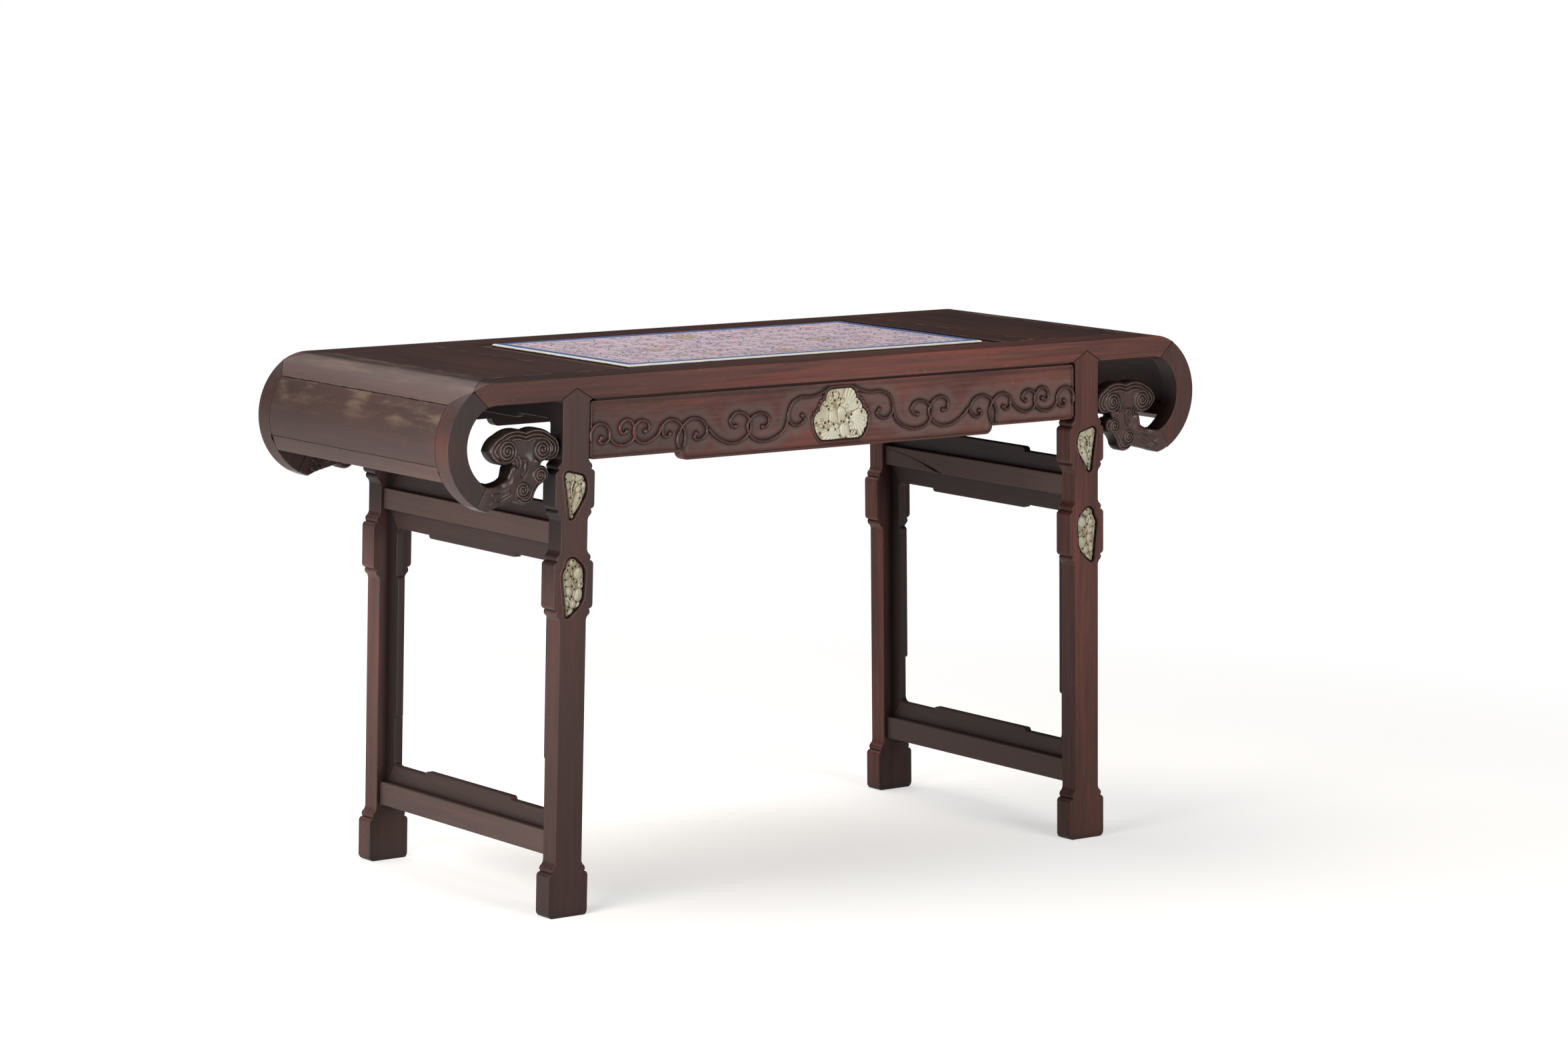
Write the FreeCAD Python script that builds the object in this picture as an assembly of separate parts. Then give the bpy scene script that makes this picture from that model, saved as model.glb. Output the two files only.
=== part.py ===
"""Scroll-ended altar table: frame-and-panel top, splayed end frames, inlaid plaques.

Millimetres. X runs along the length, the front face looks to -Y, Z is up,
and the origin lies on the floor under the middle of the table.
"""
import FreeCAD
import Part
import math
import os

V = FreeCAD.Vector
os.makedirs("parts", exist_ok=True)

# Overall sizes; the lean is in degrees
top_z = 840.0
depth = 558.0
lean = 1.2

# Top frame
rail_h = 35.4
rail_w = 60.0
end_rail_x = 637.0
end_rail_t = 24.0
crossbar_in = 383.0
crossbar_w = 61.0
panel_t = 16.0
bed_drop = 4.0

# Rolled ends; seams and edges are angles round the roll's centre
roll_ahead = 2.0
roll_r = 104.0
roll_flat = 5.2
ease_in = 24.0
mitre_ahead = 15.58
frame_d = 36.0
seam_high = 38.9
seam_low = -15.5
edge_low = -30.6
joint_low = -60.0
stem_low = -72.0
scroll_panel_t = 14.0
scroll_foot_t = 20.0

# Carved terminals, as steps from the roll's centre
terminal_set = 3.0
terminal_back = 2.0
terminal_reach = 102.5
terminal_gap = 1.7
cloud_upper = [
    ((13.5, -57.9), (-6.0, -49.2)),
    ((-9.5, -39.2), (-14.5, -27.2)),
    ((15.0, -23.7), (26.6, -7.2)),
    ((20.0, 6.3), (6.0, 16.3)),
    ((-17.0, 24.8), (-40.0, 21.3)),
    ((-64.0, 24.3), (-89.0, 12.8)),
]
cloud_tip_high = (-100.5, 1.8)
cloud_tip_z = -12.2
cloud_lower = [
    ((-94.0, -25.2), (-78.0, -26.7)),
    ((-71.5, -29.7), (-69.0, -34.2)),
    ((-83.2, -46.2), (-76.0, -59.2)),
    ((-62.0, -69.2), (-56.0, -82.2)),
    ((-41.0, -92.2), (-24.5, -85.2)),
]
cloud_belly = (1.0, -90.7)

# Legs
leg_d = 36.0
shaft_half = 24.5
neck_out = 3.4
notch_out = 5.1
bead_out = 6.7
block_out = 11.8
shoulder_h = 17.0
neck_rise = 10.3
block_round = 7.0
upper_block_drop = 107.6
upper_block_h = 61.5
block_gap = 79.5
lower_block_h = 75.5
foot_h = 69.8
foot_r = 10.0
sole_over = 1.2
head_flare = 5.0
point_h = 18.0
point_d = 12.0

# Long aprons
apron_t = 18.0
apron_set = 2.5
apron_gap = 3.8
apron_h = 90.3
apron_step = 13.1
apron_step_x = 312.0
apron_top_r = 6.0
apron_low_r = 9.0
apron_end_gap = 0.8

# End frames: stretchers and the shaped boards that line the openings
stretcher_t = 36.0
upper_frame_h = 191.6
upper_stretcher_h = 34.0
lower_stretcher_z = 93.0
lower_stretcher_h = 38.0
board_t = 13.0
low_top_w = 30.0
low_bottom_w = 29.0
low_side_w = 23.5
low_step = 5.5
low_mid_half = 116.0
up_top_w = 34.6
up_bottom_w = 27.0
up_side_w = 27.0
up_step = 7.0
step_from_leg = 118.0
open_r = 10.0

# Inlays; leg jade outlines are steps from the leg's middle line and the block's top
plaque_margin_x = 29.0
plaque_margin_y = 25.0
plaque_t = 7.0
plaque_seat = 1.5
plaque_r = 2.0
jade_t = 7.0
jade_seat = 5.0
jade_foot = 12.3
jade_foot_half = 41.0
jade_corner_r = 7.0
jade_wide_rise = 31.3
jade_wide_half = 54.5
jade_head_gap = 8.8
jade_head_half = 19.0
jade_lobes = 3
lobe_swell = 3.5
leg_jade_t = 5.5
leg_jade_seat = 6.0
leg_jade_rim = 1.5
upper_jade_run = [
    (12.2, -2.6), ((17.6, -4.8), (19.6, -11.0)), (10.6, -69.5), ((7.2, -75.4), (1.5, -71.5)),
    (-16.7, -43.7), ((-20.2, -32.5), (-17.6, -14.0)), ((-15.6, -10.4), (-11.0, -8.4)),
]
lower_jade_run = [
    (14.4, -2.7), ((6.0, 4.3), (-6.0, 0.5)), (-14.5, -7.2), ((-19.0, -16.0), (-19.6, -25.0)),
    (-17.8, -56.0), ((-13.6, -65.5), (-6.7, -73.8)), (8.0, -85.7), ((12.6, -85.8), (14.4, -80.5)),
    (21.0, -27.0), ((20.4, -18.5), (15.5, -11.5)),
]

# Joinery: tongues in grooves, tenons in mortises, and the slip left round each
slip = 0.2
tongue_t = 6.0
tongue_l = 6.0
tongue_root = 3.0
tongue_cover = 8.0
corner_free = 14.0
tenon_t = 16.0
tenon_l = 22.0
tenon_inset = 5.0
crossbar_tenon_w = 40.0
crossbar_tenon_h = 10.0
leg_tenon_w = 20.0
leg_tenon_l = 20.0
leg_tenon_wall = 4.0
lug_near = 8.0
lug_w = 18.0
lug_h = 10.0
lug_cover = 12.0
mitre_tenon_w = 10.0
mitre_tenon_d = 20.0
mitre_tenon_l = 12.0
mitre_tenon_root = 6.0
mitre_tenon_in = 8.0
plug_w = 12.0
plug_d = 18.0
plug_l = 16.0
plug_root = 8.0
roll_tongue_cover = 4.0
roll_tongue_angle = 4.0
foot_tenon_cover = 6.0
foot_tenon_t = 8.0
foot_tenon_l = 12.0
foot_tenon_angle = 2.5
apron_tongue_in = 10.0

# Places that follow from the sizes
half_d = depth / 2
leg_in_y = half_d - leg_d
rail_in_y = half_d - rail_w
frame_in_y = half_d - frame_d
rail_z = top_z - rail_h
bed_z = top_z - bed_drop
groove_z = top_z - tongue_cover - tongue_t
crossbar_out = crossbar_in + crossbar_w
corner_x = end_rail_x + rail_w
roll_x = end_rail_x + roll_ahead
roll_z = top_z - roll_r + roll_flat
ease_r = roll_r - ease_in
ease_rise = ease_in - roll_flat
ease_run = math.sqrt(ease_in ** 2 - ease_rise ** 2)
ease_centre = (roll_x + ease_run, top_z - ease_r)
ease_end = math.degrees(math.atan2(ease_rise, ease_run))
mitre_x = ease_centre[0] + mitre_ahead
mitre_z = ease_centre[1] + math.sqrt((ease_r - rail_h) ** 2 - mitre_ahead ** 2)
tip_drop = top_z - roll_z - cloud_tip_z
lean_at_tip = tip_drop * math.sin(math.radians(lean))
leg_x = roll_x - terminal_reach - terminal_gap - shaft_half - lean_at_tip
arc_in = 1 - math.sqrt(0.5)
past = 1.0
reach = 2 * corner_x


def polar(radius, angle, centre=(roll_x, roll_z)):
    a = math.radians(angle)
    return (centre[0] + radius * math.cos(a), centre[1] + radius * math.sin(a))


def arc(radius, a, b, centre=(roll_x, roll_z)):
    """Arc step round a centre, from angle a to angle b."""
    return (polar(radius, (a + b) / 2, centre), polar(radius, b, centre))


def place(axis, at, p):
    if axis == "x":
        return V(at, p[0], p[1])
    if axis == "y":
        return V(p[0], at, p[1])
    return V(p[0], p[1], at)


def is_arc(step):
    return isinstance(step[0], tuple)


def moved(steps, dx, dz):
    """The same lines and arcs, shifted."""
    out = []
    for step in steps:
        if is_arc(step):
            out.append(tuple((p[0] + dx, p[1] + dz) for p in step))
        else:
            out.append((step[0] + dx, step[1] + dz))
    return out


def mirrored(run):
    """A right-hand run of lines and arcs, closed by its mirror image about the middle."""
    ends = [step[1] if is_arc(step) else step for step in run]
    back = [(-ends[-1][0], ends[-1][1])]
    for i in range(len(run) - 1, 0, -1):
        to = (-ends[i - 1][0], ends[i - 1][1])
        if is_arc(run[i]):
            through = run[i][0]
            back.append(((-through[0], through[1]), to))
        else:
            back.append(to)
    return run + back


def prism(axis, a, b, start, *steps):
    """Solid along an axis; a step is a line to a point or an arc (through, to)."""
    edges = []
    here = start
    for step in steps + (start,):
        to = step[1] if is_arc(step) else step
        if is_arc(step):
            curve = Part.Arc(place(axis, a, here), place(axis, a, step[0]), place(axis, a, to))
            edges.append(curve.toShape())
        elif not place(axis, a, here).isEqual(place(axis, a, to), 1e-6):
            edges.append(Part.LineSegment(place(axis, a, here), place(axis, a, to)).toShape())
        here = to
    face = Part.Face(Part.Wire(edges))
    return face.extrude(place(axis, b - a, (0, 0)))


def box(x0, x1, y0, y1, z0, z1):
    return Part.makeBox(x1 - x0, y1 - y0, z1 - z0, V(x0, y0, z0))


def ring(r0, r1, start, end, y0, y1):
    return prism("y", y0, y1, polar(r1, start), arc(r1, start, end), polar(r0, end), arc(r0, end, start))


def flip_x(shape):
    return shape.mirror(V(0, 0, 0), V(1, 0, 0))


def flip_y(shape):
    return shape.mirror(V(0, 0, 0), V(0, 1, 0))


def splay(shape):
    """Carry an upright end-frame piece to its leaning place at the right end."""
    leaned = shape.copy()
    leaned.rotate(V(0, 0, top_z), V(0, 1, 0), -lean)
    leaned.translate(V(leg_x, 0, 0))
    return leaned


def splay_point(t, z):
    a = math.radians(lean)
    drop = top_z - z
    return (leg_x + t * math.cos(a) + drop * math.sin(a), top_z - drop * math.cos(a) + t * math.sin(a))


def below(z):
    """Everything on the right-hand half under a height."""
    return box(0, reach, -depth, depth, 0, z)


def cut(shape, *tools):
    for tool in tools:
        shape = shape.cut(tool)
    return shape


def join(shape, *others):
    for other in others:
        shape = shape.fuse(other)
    return shape.removeSplitter()


def save(name, shape):
    solids = shape.Solids
    if len(solids) != 1 or not shape.isValid():
        print("CHECK", name, len(solids), shape.isValid())
    solids[0].exportStep("parts/" + name + ".step")


def save_pair(name, right):
    save("right_" + name, right)
    save("left_" + name, flip_x(right))


def save_four(name, front_right):
    save("front_right_" + name, front_right)
    save("front_left_" + name, flip_x(front_right))
    save("back_right_" + name, flip_y(front_right))
    save("back_left_" + name, flip_x(flip_y(front_right)))


# Rolled top: one band, flat along the top and eased into the roll
def rolled_band(thickness, x0, end, y0, y1):
    inner = ease_r - thickness
    return prism(
        "y", y0, y1,
        (x0, top_z),
        (ease_centre[0], top_z),
        arc(ease_r, 90, ease_end, ease_centre),
        arc(roll_r, ease_end, end),
        polar(roll_r - thickness, end),
        arc(roll_r - thickness, end, ease_end),
        arc(inner, ease_end, 90, ease_centre),
        (x0, top_z - thickness),
    )


# End rail: mitred into the long rails in plan, then cut back between the side frames
seam_x = polar(roll_r, seam_high)[0]
roll_end_x = roll_x + roll_r + past
end_rail_plan = prism(
    "z", roll_z, top_z + past,
    (end_rail_x, -rail_in_y),
    (corner_x, -half_d),
    (seam_x, -frame_in_y),
    (roll_end_x, -frame_in_y),
    (roll_end_x, frame_in_y),
    (seam_x, frame_in_y),
    (corner_x, half_d),
    (end_rail_x, rail_in_y),
)
end_rail = rolled_band(end_rail_t, end_rail_x, seam_high, -half_d, half_d).common(end_rail_plan)
roll_tongue_r1 = roll_r - roll_tongue_cover
roll_tongue_r0 = roll_tongue_r1 - tongue_t


def roll_groove(start, end, y0, y1):
    return ring(roll_tongue_r0 - slip, roll_tongue_r1 + slip, start, end, y0, y1)


def end_lug(grow):
    """Tenons of the end rail into both long rails, behind the mitres."""
    half = half_d - lug_cover + grow
    z0 = top_z - end_rail_t
    return box(end_rail_x + lug_near - grow, end_rail_x + lug_near + lug_w + grow,
               -half, half, z0, z0 + lug_h + grow)


panel_groove = box(end_rail_x - past, end_rail_x + tongue_l + slip, -rail_in_y, rail_in_y,
                   groove_z - slip, groove_z + tongue_t + slip)
tongue_room = roll_tongue_angle + 1
save_pair("end_rail", cut(
    join(end_rail, end_lug(0)),
    roll_groove(seam_high - 1, seam_high + tongue_room, -frame_in_y, frame_in_y),
    panel_groove,
))

# Side frames of the rolls: a C-shaped band from the mitre to the carved terminal
mitre_far = 2 * roll_r
outer_of_mitre = prism(
    "y", -half_d - past, half_d + past,
    (mitre_x - mitre_far, mitre_z - mitre_far),
    (mitre_x + mitre_far, mitre_z + mitre_far),
    (mitre_x + 2 * mitre_far, mitre_z + mitre_far),
    (mitre_x + 2 * mitre_far, mitre_z - mitre_far),
)
terminal_y0 = -half_d + terminal_set
terminal_y1 = -frame_in_y - terminal_back
foot_tenon_r1 = roll_r - foot_tenon_cover
foot_tenon_r0 = foot_tenon_r1 - foot_tenon_t
foot_tenon_start = seam_low - foot_tenon_angle
foot_tenon_end = edge_low + foot_tenon_angle


def mitre_tenon(grow):
    """Tenon square to the mitre, in the middle of the joint's depth."""
    w = mitre_tenon_w + 2 * grow
    d = mitre_tenon_d + 2 * grow
    middle = -half_d + frame_d / 2
    tenon = Part.makeBox(w, d, mitre_tenon_root + mitre_tenon_l + grow,
                         V(-w / 2, middle - d / 2, -mitre_tenon_root))
    tenon.rotate(V(0, 0, 0), V(0, 1, 0), -45)
    tenon.translate(V(mitre_x + mitre_tenon_in, 0, mitre_z + mitre_tenon_in))
    return tenon


def plug(grow):
    """Tenon of the terminal along the band, at the lower joint."""
    w = plug_w + 2 * grow
    d = plug_d + 2 * grow
    middle = (terminal_y0 + terminal_y1) / 2
    tenon = Part.makeBox(w, d, plug_root + plug_l + grow, V(-w / 2, middle - d / 2, -plug_root))
    tenon.rotate(V(0, 0, 0), V(0, 1, 0), -joint_low)
    x, z = polar(roll_r - rail_h / 2, joint_low)
    tenon.translate(V(x, 0, z))
    return tenon


foot_hole = ring(foot_tenon_r0 - slip, foot_tenon_r1 + slip, foot_tenon_start + slip, foot_tenon_end - slip,
                 -frame_in_y - foot_tenon_l - slip, -frame_in_y + past)
roll_frame = rolled_band(rail_h, end_rail_x, joint_low, -half_d, -frame_in_y).common(outer_of_mitre)
save_four("scroll_frame", cut(
    join(roll_frame, mitre_tenon(0)),
    end_rail,
    roll_groove(seam_high + tongue_room, edge_low, -frame_in_y - tongue_l - slip, -frame_in_y + past),
    foot_hole,
    plug(slip),
))

# Curved panel of each roll and the rail along its lower edge
scroll_panel = ring(roll_r - scroll_panel_t, roll_r, seam_high, seam_low, -frame_in_y, frame_in_y)
side_tongue_y = frame_in_y + tongue_l
end_tongue_y = frame_in_y - past
save_pair("scroll_panel", join(
    scroll_panel,
    ring(roll_tongue_r0, roll_tongue_r1, seam_high - slip, seam_low + slip, -side_tongue_y, side_tongue_y),
    ring(roll_tongue_r0, roll_tongue_r1, seam_high + roll_tongue_angle, seam_low - roll_tongue_angle,
         -end_tongue_y, end_tongue_y),
))
foot_tenon_y = frame_in_y + foot_tenon_l
scroll_foot = ring(roll_r - scroll_foot_t, roll_r, seam_low, edge_low, -frame_in_y, frame_in_y)
save_pair("scroll_bottom_rail", cut(
    join(scroll_foot, ring(foot_tenon_r0, foot_tenon_r1, foot_tenon_start, foot_tenon_end,
                           -foot_tenon_y, foot_tenon_y)),
    roll_groove(seam_low + 1, seam_low - tongue_room, -frame_in_y, frame_in_y),
))

# Cloud-headed terminal: stem from the C frame, a two-lobed head and two small volutes
terminal = prism(
    "y", terminal_y0, terminal_y1,
    polar(roll_r - rail_h, joint_low),
    *moved(cloud_upper, roll_x, roll_z),
    *moved([(cloud_tip_high, (-terminal_reach, cloud_tip_z))], roll_x, roll_z),
    *moved(cloud_lower, roll_x, roll_z),
    ((roll_x + cloud_belly[0], roll_z + cloud_belly[1]), polar(roll_r, stem_low)),
    arc(roll_r, stem_low, joint_low),
)
save_four("terminal", join(terminal, plug(0)))

# Long rails: band with both mitres, leg joints and grooves
head_x = splay_point(0, rail_z)[0]
head_half = shaft_half + head_flare
apron_y0 = -half_d + apron_set
apron_y1 = apron_y0 + apron_t
apron_tongue_y0 = (apron_y0 + apron_y1 - tongue_t) / 2
apron_tongue_y1 = apron_tongue_y0 + tongue_t
apron_tongue_x = leg_x - shaft_half - corner_free
apron_top_z = rail_z - apron_gap


def leg_point(grow):
    """Pointed shoulder of the leg, let into the rail's face at the right front leg."""
    half = head_half + 2 * grow
    return prism("y", -half_d, -half_d + point_d + grow,
                 (head_x - half, rail_z), (head_x, rail_z + point_h + grow), (head_x + half, rail_z))


def leg_tenon(grow):
    half = leg_tenon_w / 2 + grow
    y0 = -half_d + point_d + leg_tenon_wall - grow
    y1 = -leg_in_y - leg_tenon_wall + grow
    return box(head_x - half, head_x + half, y0, y1, rail_z, rail_z + leg_tenon_l + grow)


def crossbar_tenons(grow):
    middle = (crossbar_in + crossbar_out) / 2
    half = crossbar_tenon_w / 2 + grow
    y = rail_in_y + tenon_l + grow
    z0 = rail_z + tenon_inset
    return box(middle - half, middle + half, -y, y, z0 - grow, z0 + crossbar_tenon_h + grow)


rail_groove = box(-past, end_rail_x + tongue_l, -rail_in_y - tongue_l - slip, -rail_in_y + past,
                  groove_z - slip, groove_z + tongue_t + slip)
apron_slot = box(-past, apron_tongue_x + slip, apron_tongue_y0 - slip, apron_tongue_y1 + slip,
                 rail_z - past, rail_z + tongue_l)
long_rail = rolled_band(rail_h, 0, seam_low, -half_d, -rail_in_y)
long_rail = cut(
    long_rail, outer_of_mitre, end_rail, leg_point(slip), leg_tenon(slip), rail_groove, apron_slot,
    crossbar_tenons(slip), mitre_tenon(slip), end_lug(slip),
)
front_rail = join(long_rail, flip_x(long_rail))
save("top_front_rail", front_rail)
save("top_back_rail", flip_y(front_rail))

# Crossbars
crossbar = join(
    box(crossbar_in, crossbar_out, -rail_in_y, rail_in_y, rail_z, top_z),
    crossbar_tenons(0),
)
for groove_x in (crossbar_in, crossbar_out):
    crossbar = crossbar.cut(box(groove_x - tongue_l - slip, groove_x + tongue_l + slip,
                                -rail_in_y, rail_in_y, groove_z - slip, groove_z + tongue_t + slip))
save_pair("crossbar", crossbar)


# End panels, the bed under the plaque, and the plaque
def tongued_panel(x0, x1, z1):
    """Board with a tongue on all four edges, cut back at the corners."""
    z0 = groove_z
    return join(
        box(x0, x1, -rail_in_y, rail_in_y, z1 - panel_t, z1),
        box(x0 + past, x1 - past, -rail_in_y - tongue_l, rail_in_y + tongue_l, z0, z0 + tongue_t),
        box(x0 - tongue_l, x1 + tongue_l, -rail_in_y + past, rail_in_y - past, z0, z0 + tongue_t),
    )


save_pair("top_panel", tongued_panel(crossbar_out, end_rail_x, top_z))
plaque_x = crossbar_in - plaque_margin_x
plaque_y = rail_in_y - plaque_margin_y
plaque_z = bed_z - plaque_seat
plaque_hole = box(-plaque_x - slip, plaque_x + slip, -plaque_y - slip, plaque_y + slip, plaque_z, top_z)
save("plaque_bed", tongued_panel(-crossbar_in, crossbar_in, bed_z).cut(plaque_hole))
plaque = box(-plaque_x, plaque_x, -plaque_y, plaque_y, plaque_z, plaque_z + plaque_t)
upper_edges = [e for e in plaque.Edges if e.BoundBox.ZMin > plaque_z + plaque_t / 2]
save("porcelain_plaque", plaque.makeFillet(plaque_r, upper_edges))


# Legs: a shaft with two blocks and a foot, each with a bead and notch at its shoulders
def shoulder(z, up):
    """Ogee, bead and notch from shaft to block at height z; up is 1 above a block, -1 below."""
    neck = shaft_half + neck_out
    notch = shaft_half + notch_out
    bead = shaft_half + bead_out
    block = shaft_half + block_out
    hollow = neck_out * arc_in
    round_in = (block - notch) * arc_in
    return [
        (shaft_half, z + up * shoulder_h),
        ((shaft_half + hollow, z + up * (shoulder_h + neck_rise) / 2), (neck, z + up * neck_rise)),
        ((bead, z + up * neck_rise / 2), (notch, z)),
        ((block - round_in, z - up * block_round * arc_in), (block, z - up * block_round)),
    ]


def shoulder_below(z):
    """The shoulder under a block, travelled downwards from block to shaft."""
    steps = shoulder(z, -1)
    out = [steps[-1][1]]
    for i in range(len(steps) - 1, 0, -1):
        before = steps[i - 1]
        out.append((steps[i][0], before[1] if is_arc(before) else before))
    return out


upper_block_top = rail_z - upper_block_drop
upper_block_low = upper_block_top - upper_block_h
lower_block_top = upper_block_low - block_gap
lower_block_low = lower_block_top - lower_block_h
block_half = shaft_half + block_out
flare_in = head_flare * arc_in
leg_run = [(head_half, top_z), (head_half, rail_z)]
leg_run += [((shaft_half + flare_in, rail_z - flare_in), (shaft_half, rail_z - head_flare))]
leg_run += shoulder(upper_block_top, 1) + shoulder_below(upper_block_low)
leg_run += shoulder(lower_block_top, 1) + shoulder_below(lower_block_low)
leg_run += shoulder(foot_h, 1) + [(block_half, foot_r - sole_over)]
leg_run += [((block_half - foot_r * arc_in, foot_r * arc_in - sole_over), (block_half - foot_r, -sole_over))]
leg_stock = prism("y", -half_d, -leg_in_y, *mirrored(leg_run))

upper_stretcher_top = rail_z - upper_frame_h
upper_stretcher = (upper_stretcher_top - upper_stretcher_h, upper_stretcher_top)
lower_stretcher = (lower_stretcher_z, lower_stretcher_z + lower_stretcher_h)
low_frame = (lower_stretcher[1], upper_stretcher[0])
up_frame = (upper_stretcher[1], rail_z)


def stretcher_tenons(zs, grow):
    half = tenon_t / 2 + grow
    y = leg_in_y + tenon_l + grow
    return box(-half, half, -y, y, zs[0] + tenon_inset - grow, zs[1] - tenon_inset + grow)


def side_tongue(zs, root, grow):
    """Tongue of a side board into the front leg."""
    half = tongue_t / 2 + grow
    return box(-half, half, -leg_in_y - tongue_l - grow, -leg_in_y + root,
               zs[0] + corner_free - grow, zs[1] - corner_free + grow)


def apron_leg_tongue(root, grow):
    """Tongue of a long apron into the right front leg's side."""
    tongue = box(-shaft_half - root, -shaft_half + tongue_l + grow, apron_tongue_y0 - grow,
                 apron_tongue_y1 + grow, apron_top_z - apron_h + corner_free - grow, top_z)
    return splay(tongue).common(below(apron_top_z - apron_tongue_in + grow))


leg_stock = cut(
    leg_stock,
    stretcher_tenons(upper_stretcher, slip),
    stretcher_tenons(lower_stretcher, slip),
    side_tongue(low_frame, past, slip),
    side_tongue(up_frame, past, slip),
)


def whole_leg(stock):
    leg = splay(stock).common(below(rail_z))
    leg = join(leg, leg_point(0), leg_tenon(0))
    return leg.cut(apron_leg_tongue(tenon_l, slip))


def leg_jade(run, z, grow, y0, y1):
    """Jade slab in a leg block, or the seat for it when the outline grows by the rim."""
    slab = prism("y", y0, y1, *moved(run, 0, z))
    if grow == 0:
        return slab
    wire = slab.Faces[-1].OuterWire.makeOffset2D(grow)
    return Part.Face(wire).extrude(V(0, y0 - y1, 0))


leg_jade_back = -half_d + leg_jade_seat
leg_jade_front = leg_jade_back - leg_jade_t
inlaid_stock = leg_stock
for name, run, z in (("upper_jade", upper_jade_run, upper_block_top),
                     ("lower_jade", lower_jade_run, lower_block_top)):
    save_pair(name, splay(leg_jade(run, z, 0, leg_jade_back, leg_jade_front)))
    inlaid_stock = inlaid_stock.cut(leg_jade(run, z, leg_jade_rim, leg_jade_back, -half_d - past))
inlaid_leg = whole_leg(inlaid_stock)
plain_leg = flip_y(whole_leg(leg_stock))
save("front_right_leg", inlaid_leg)
save("front_left_leg", flip_x(inlaid_leg))
save("back_right_leg", plain_leg)
save("back_left_leg", flip_x(plain_leg))

# Long aprons: stepped lower edge, rounded corners, tongues into rail and legs
apron_end_z = apron_top_z - apron_h
apron_mid_z = apron_end_z - apron_step
apron_end_t = -shaft_half - apron_end_gap
end_high = splay_point(apron_end_t, apron_top_z - apron_top_r)
end_low = splay_point(apron_end_t, apron_end_z + apron_low_r)
top_in = apron_top_r * arc_in
low_in = apron_low_r * arc_in
step_in = apron_step * arc_in
apron_half = prism(
    "y", apron_y0, apron_y1,
    (0.0, apron_top_z),
    (end_high[0] - apron_top_r, apron_top_z),
    ((end_high[0] - top_in, apron_top_z - top_in), end_high),
    end_low,
    ((end_low[0] - low_in, apron_end_z + low_in), (end_low[0] - apron_low_r, apron_end_z)),
    (apron_step_x, apron_end_z),
    ((apron_step_x - step_in, apron_mid_z + step_in), (apron_step_x - apron_step, apron_mid_z)),
    (0.0, apron_mid_z),
)
apron_rail_tongue = box(0, apron_tongue_x, apron_tongue_y0, apron_tongue_y1,
                        apron_top_z - tongue_root, rail_z + tongue_l)
apron_half = join(apron_half, apron_rail_tongue, apron_leg_tongue(apron_end_gap + tongue_root, 0))
apron = join(apron_half, flip_x(apron_half))


# Scalloped jade in the middle of the front apron
def apron_jade(grow, y0, y1):
    foot_z = apron_mid_z + jade_foot
    foot = (jade_foot_half, foot_z)
    wide = (jade_wide_half, foot_z + jade_wide_rise)
    head = (jade_head_half, apron_top_z - jade_head_gap)
    run_x = head[0] - wide[0]
    run_z = head[1] - wide[1]
    out_x = run_z / math.hypot(run_x, run_z)
    out_z = -run_x / math.hypot(run_x, run_z)

    def on_side(share, out):
        return (wide[0] + run_x * share + out_x * out, wide[1] + run_z * share + out_z * out)

    corner_in = jade_corner_r * arc_in
    corner_top = (foot[0] + jade_corner_r * (1 - arc_in) + grow, foot_z + jade_corner_r)
    flank = ((corner_top[0] + wide[0] + grow) / 2 + corner_in, (corner_top[1] + wide[1]) / 2)
    run = [
        (foot[0] - jade_corner_r, foot_z - grow),
        ((foot[0] + grow, foot_z + corner_in - grow), corner_top),
        (flank, on_side(0, grow)),
    ]
    for i in range(jade_lobes):
        run.append((on_side((i + 0.5) / jade_lobes, lobe_swell + grow), on_side((i + 1) / jade_lobes, grow)))
    return prism("y", y0, y1, *mirrored(run))


jade_back = apron_y0 + jade_seat
save("apron_jade", apron_jade(0, jade_back, jade_back - jade_t))
save("front_apron", apron.cut(apron_jade(slip, jade_back, apron_y0 - past)))
save("back_apron", flip_y(apron))


# End frames: stretchers grooved for the boards above and below them
def stretcher(zs, grooved_faces):
    bar = box(-stretcher_t / 2, stretcher_t / 2, -leg_in_y, leg_in_y, zs[0], zs[1])
    bar = join(bar, stretcher_tenons(zs, 0))
    half = tongue_t / 2 + slip
    run = leg_in_y - corner_free + slip
    deep = tongue_l + slip
    for z in grooved_faces:
        bar = bar.cut(box(-half, half, -run, run, z - deep, z + deep))
    return bar


save_pair("upper_stretcher", splay(stretcher(upper_stretcher, upper_stretcher)))
save_pair("lower_stretcher", splay(stretcher(lower_stretcher, lower_stretcher[1:])))


def board_tongue(z0, z1):
    half = tongue_t / 2
    run = leg_in_y - corner_free
    return box(-half, half, -run, run, z0, z1)


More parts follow.
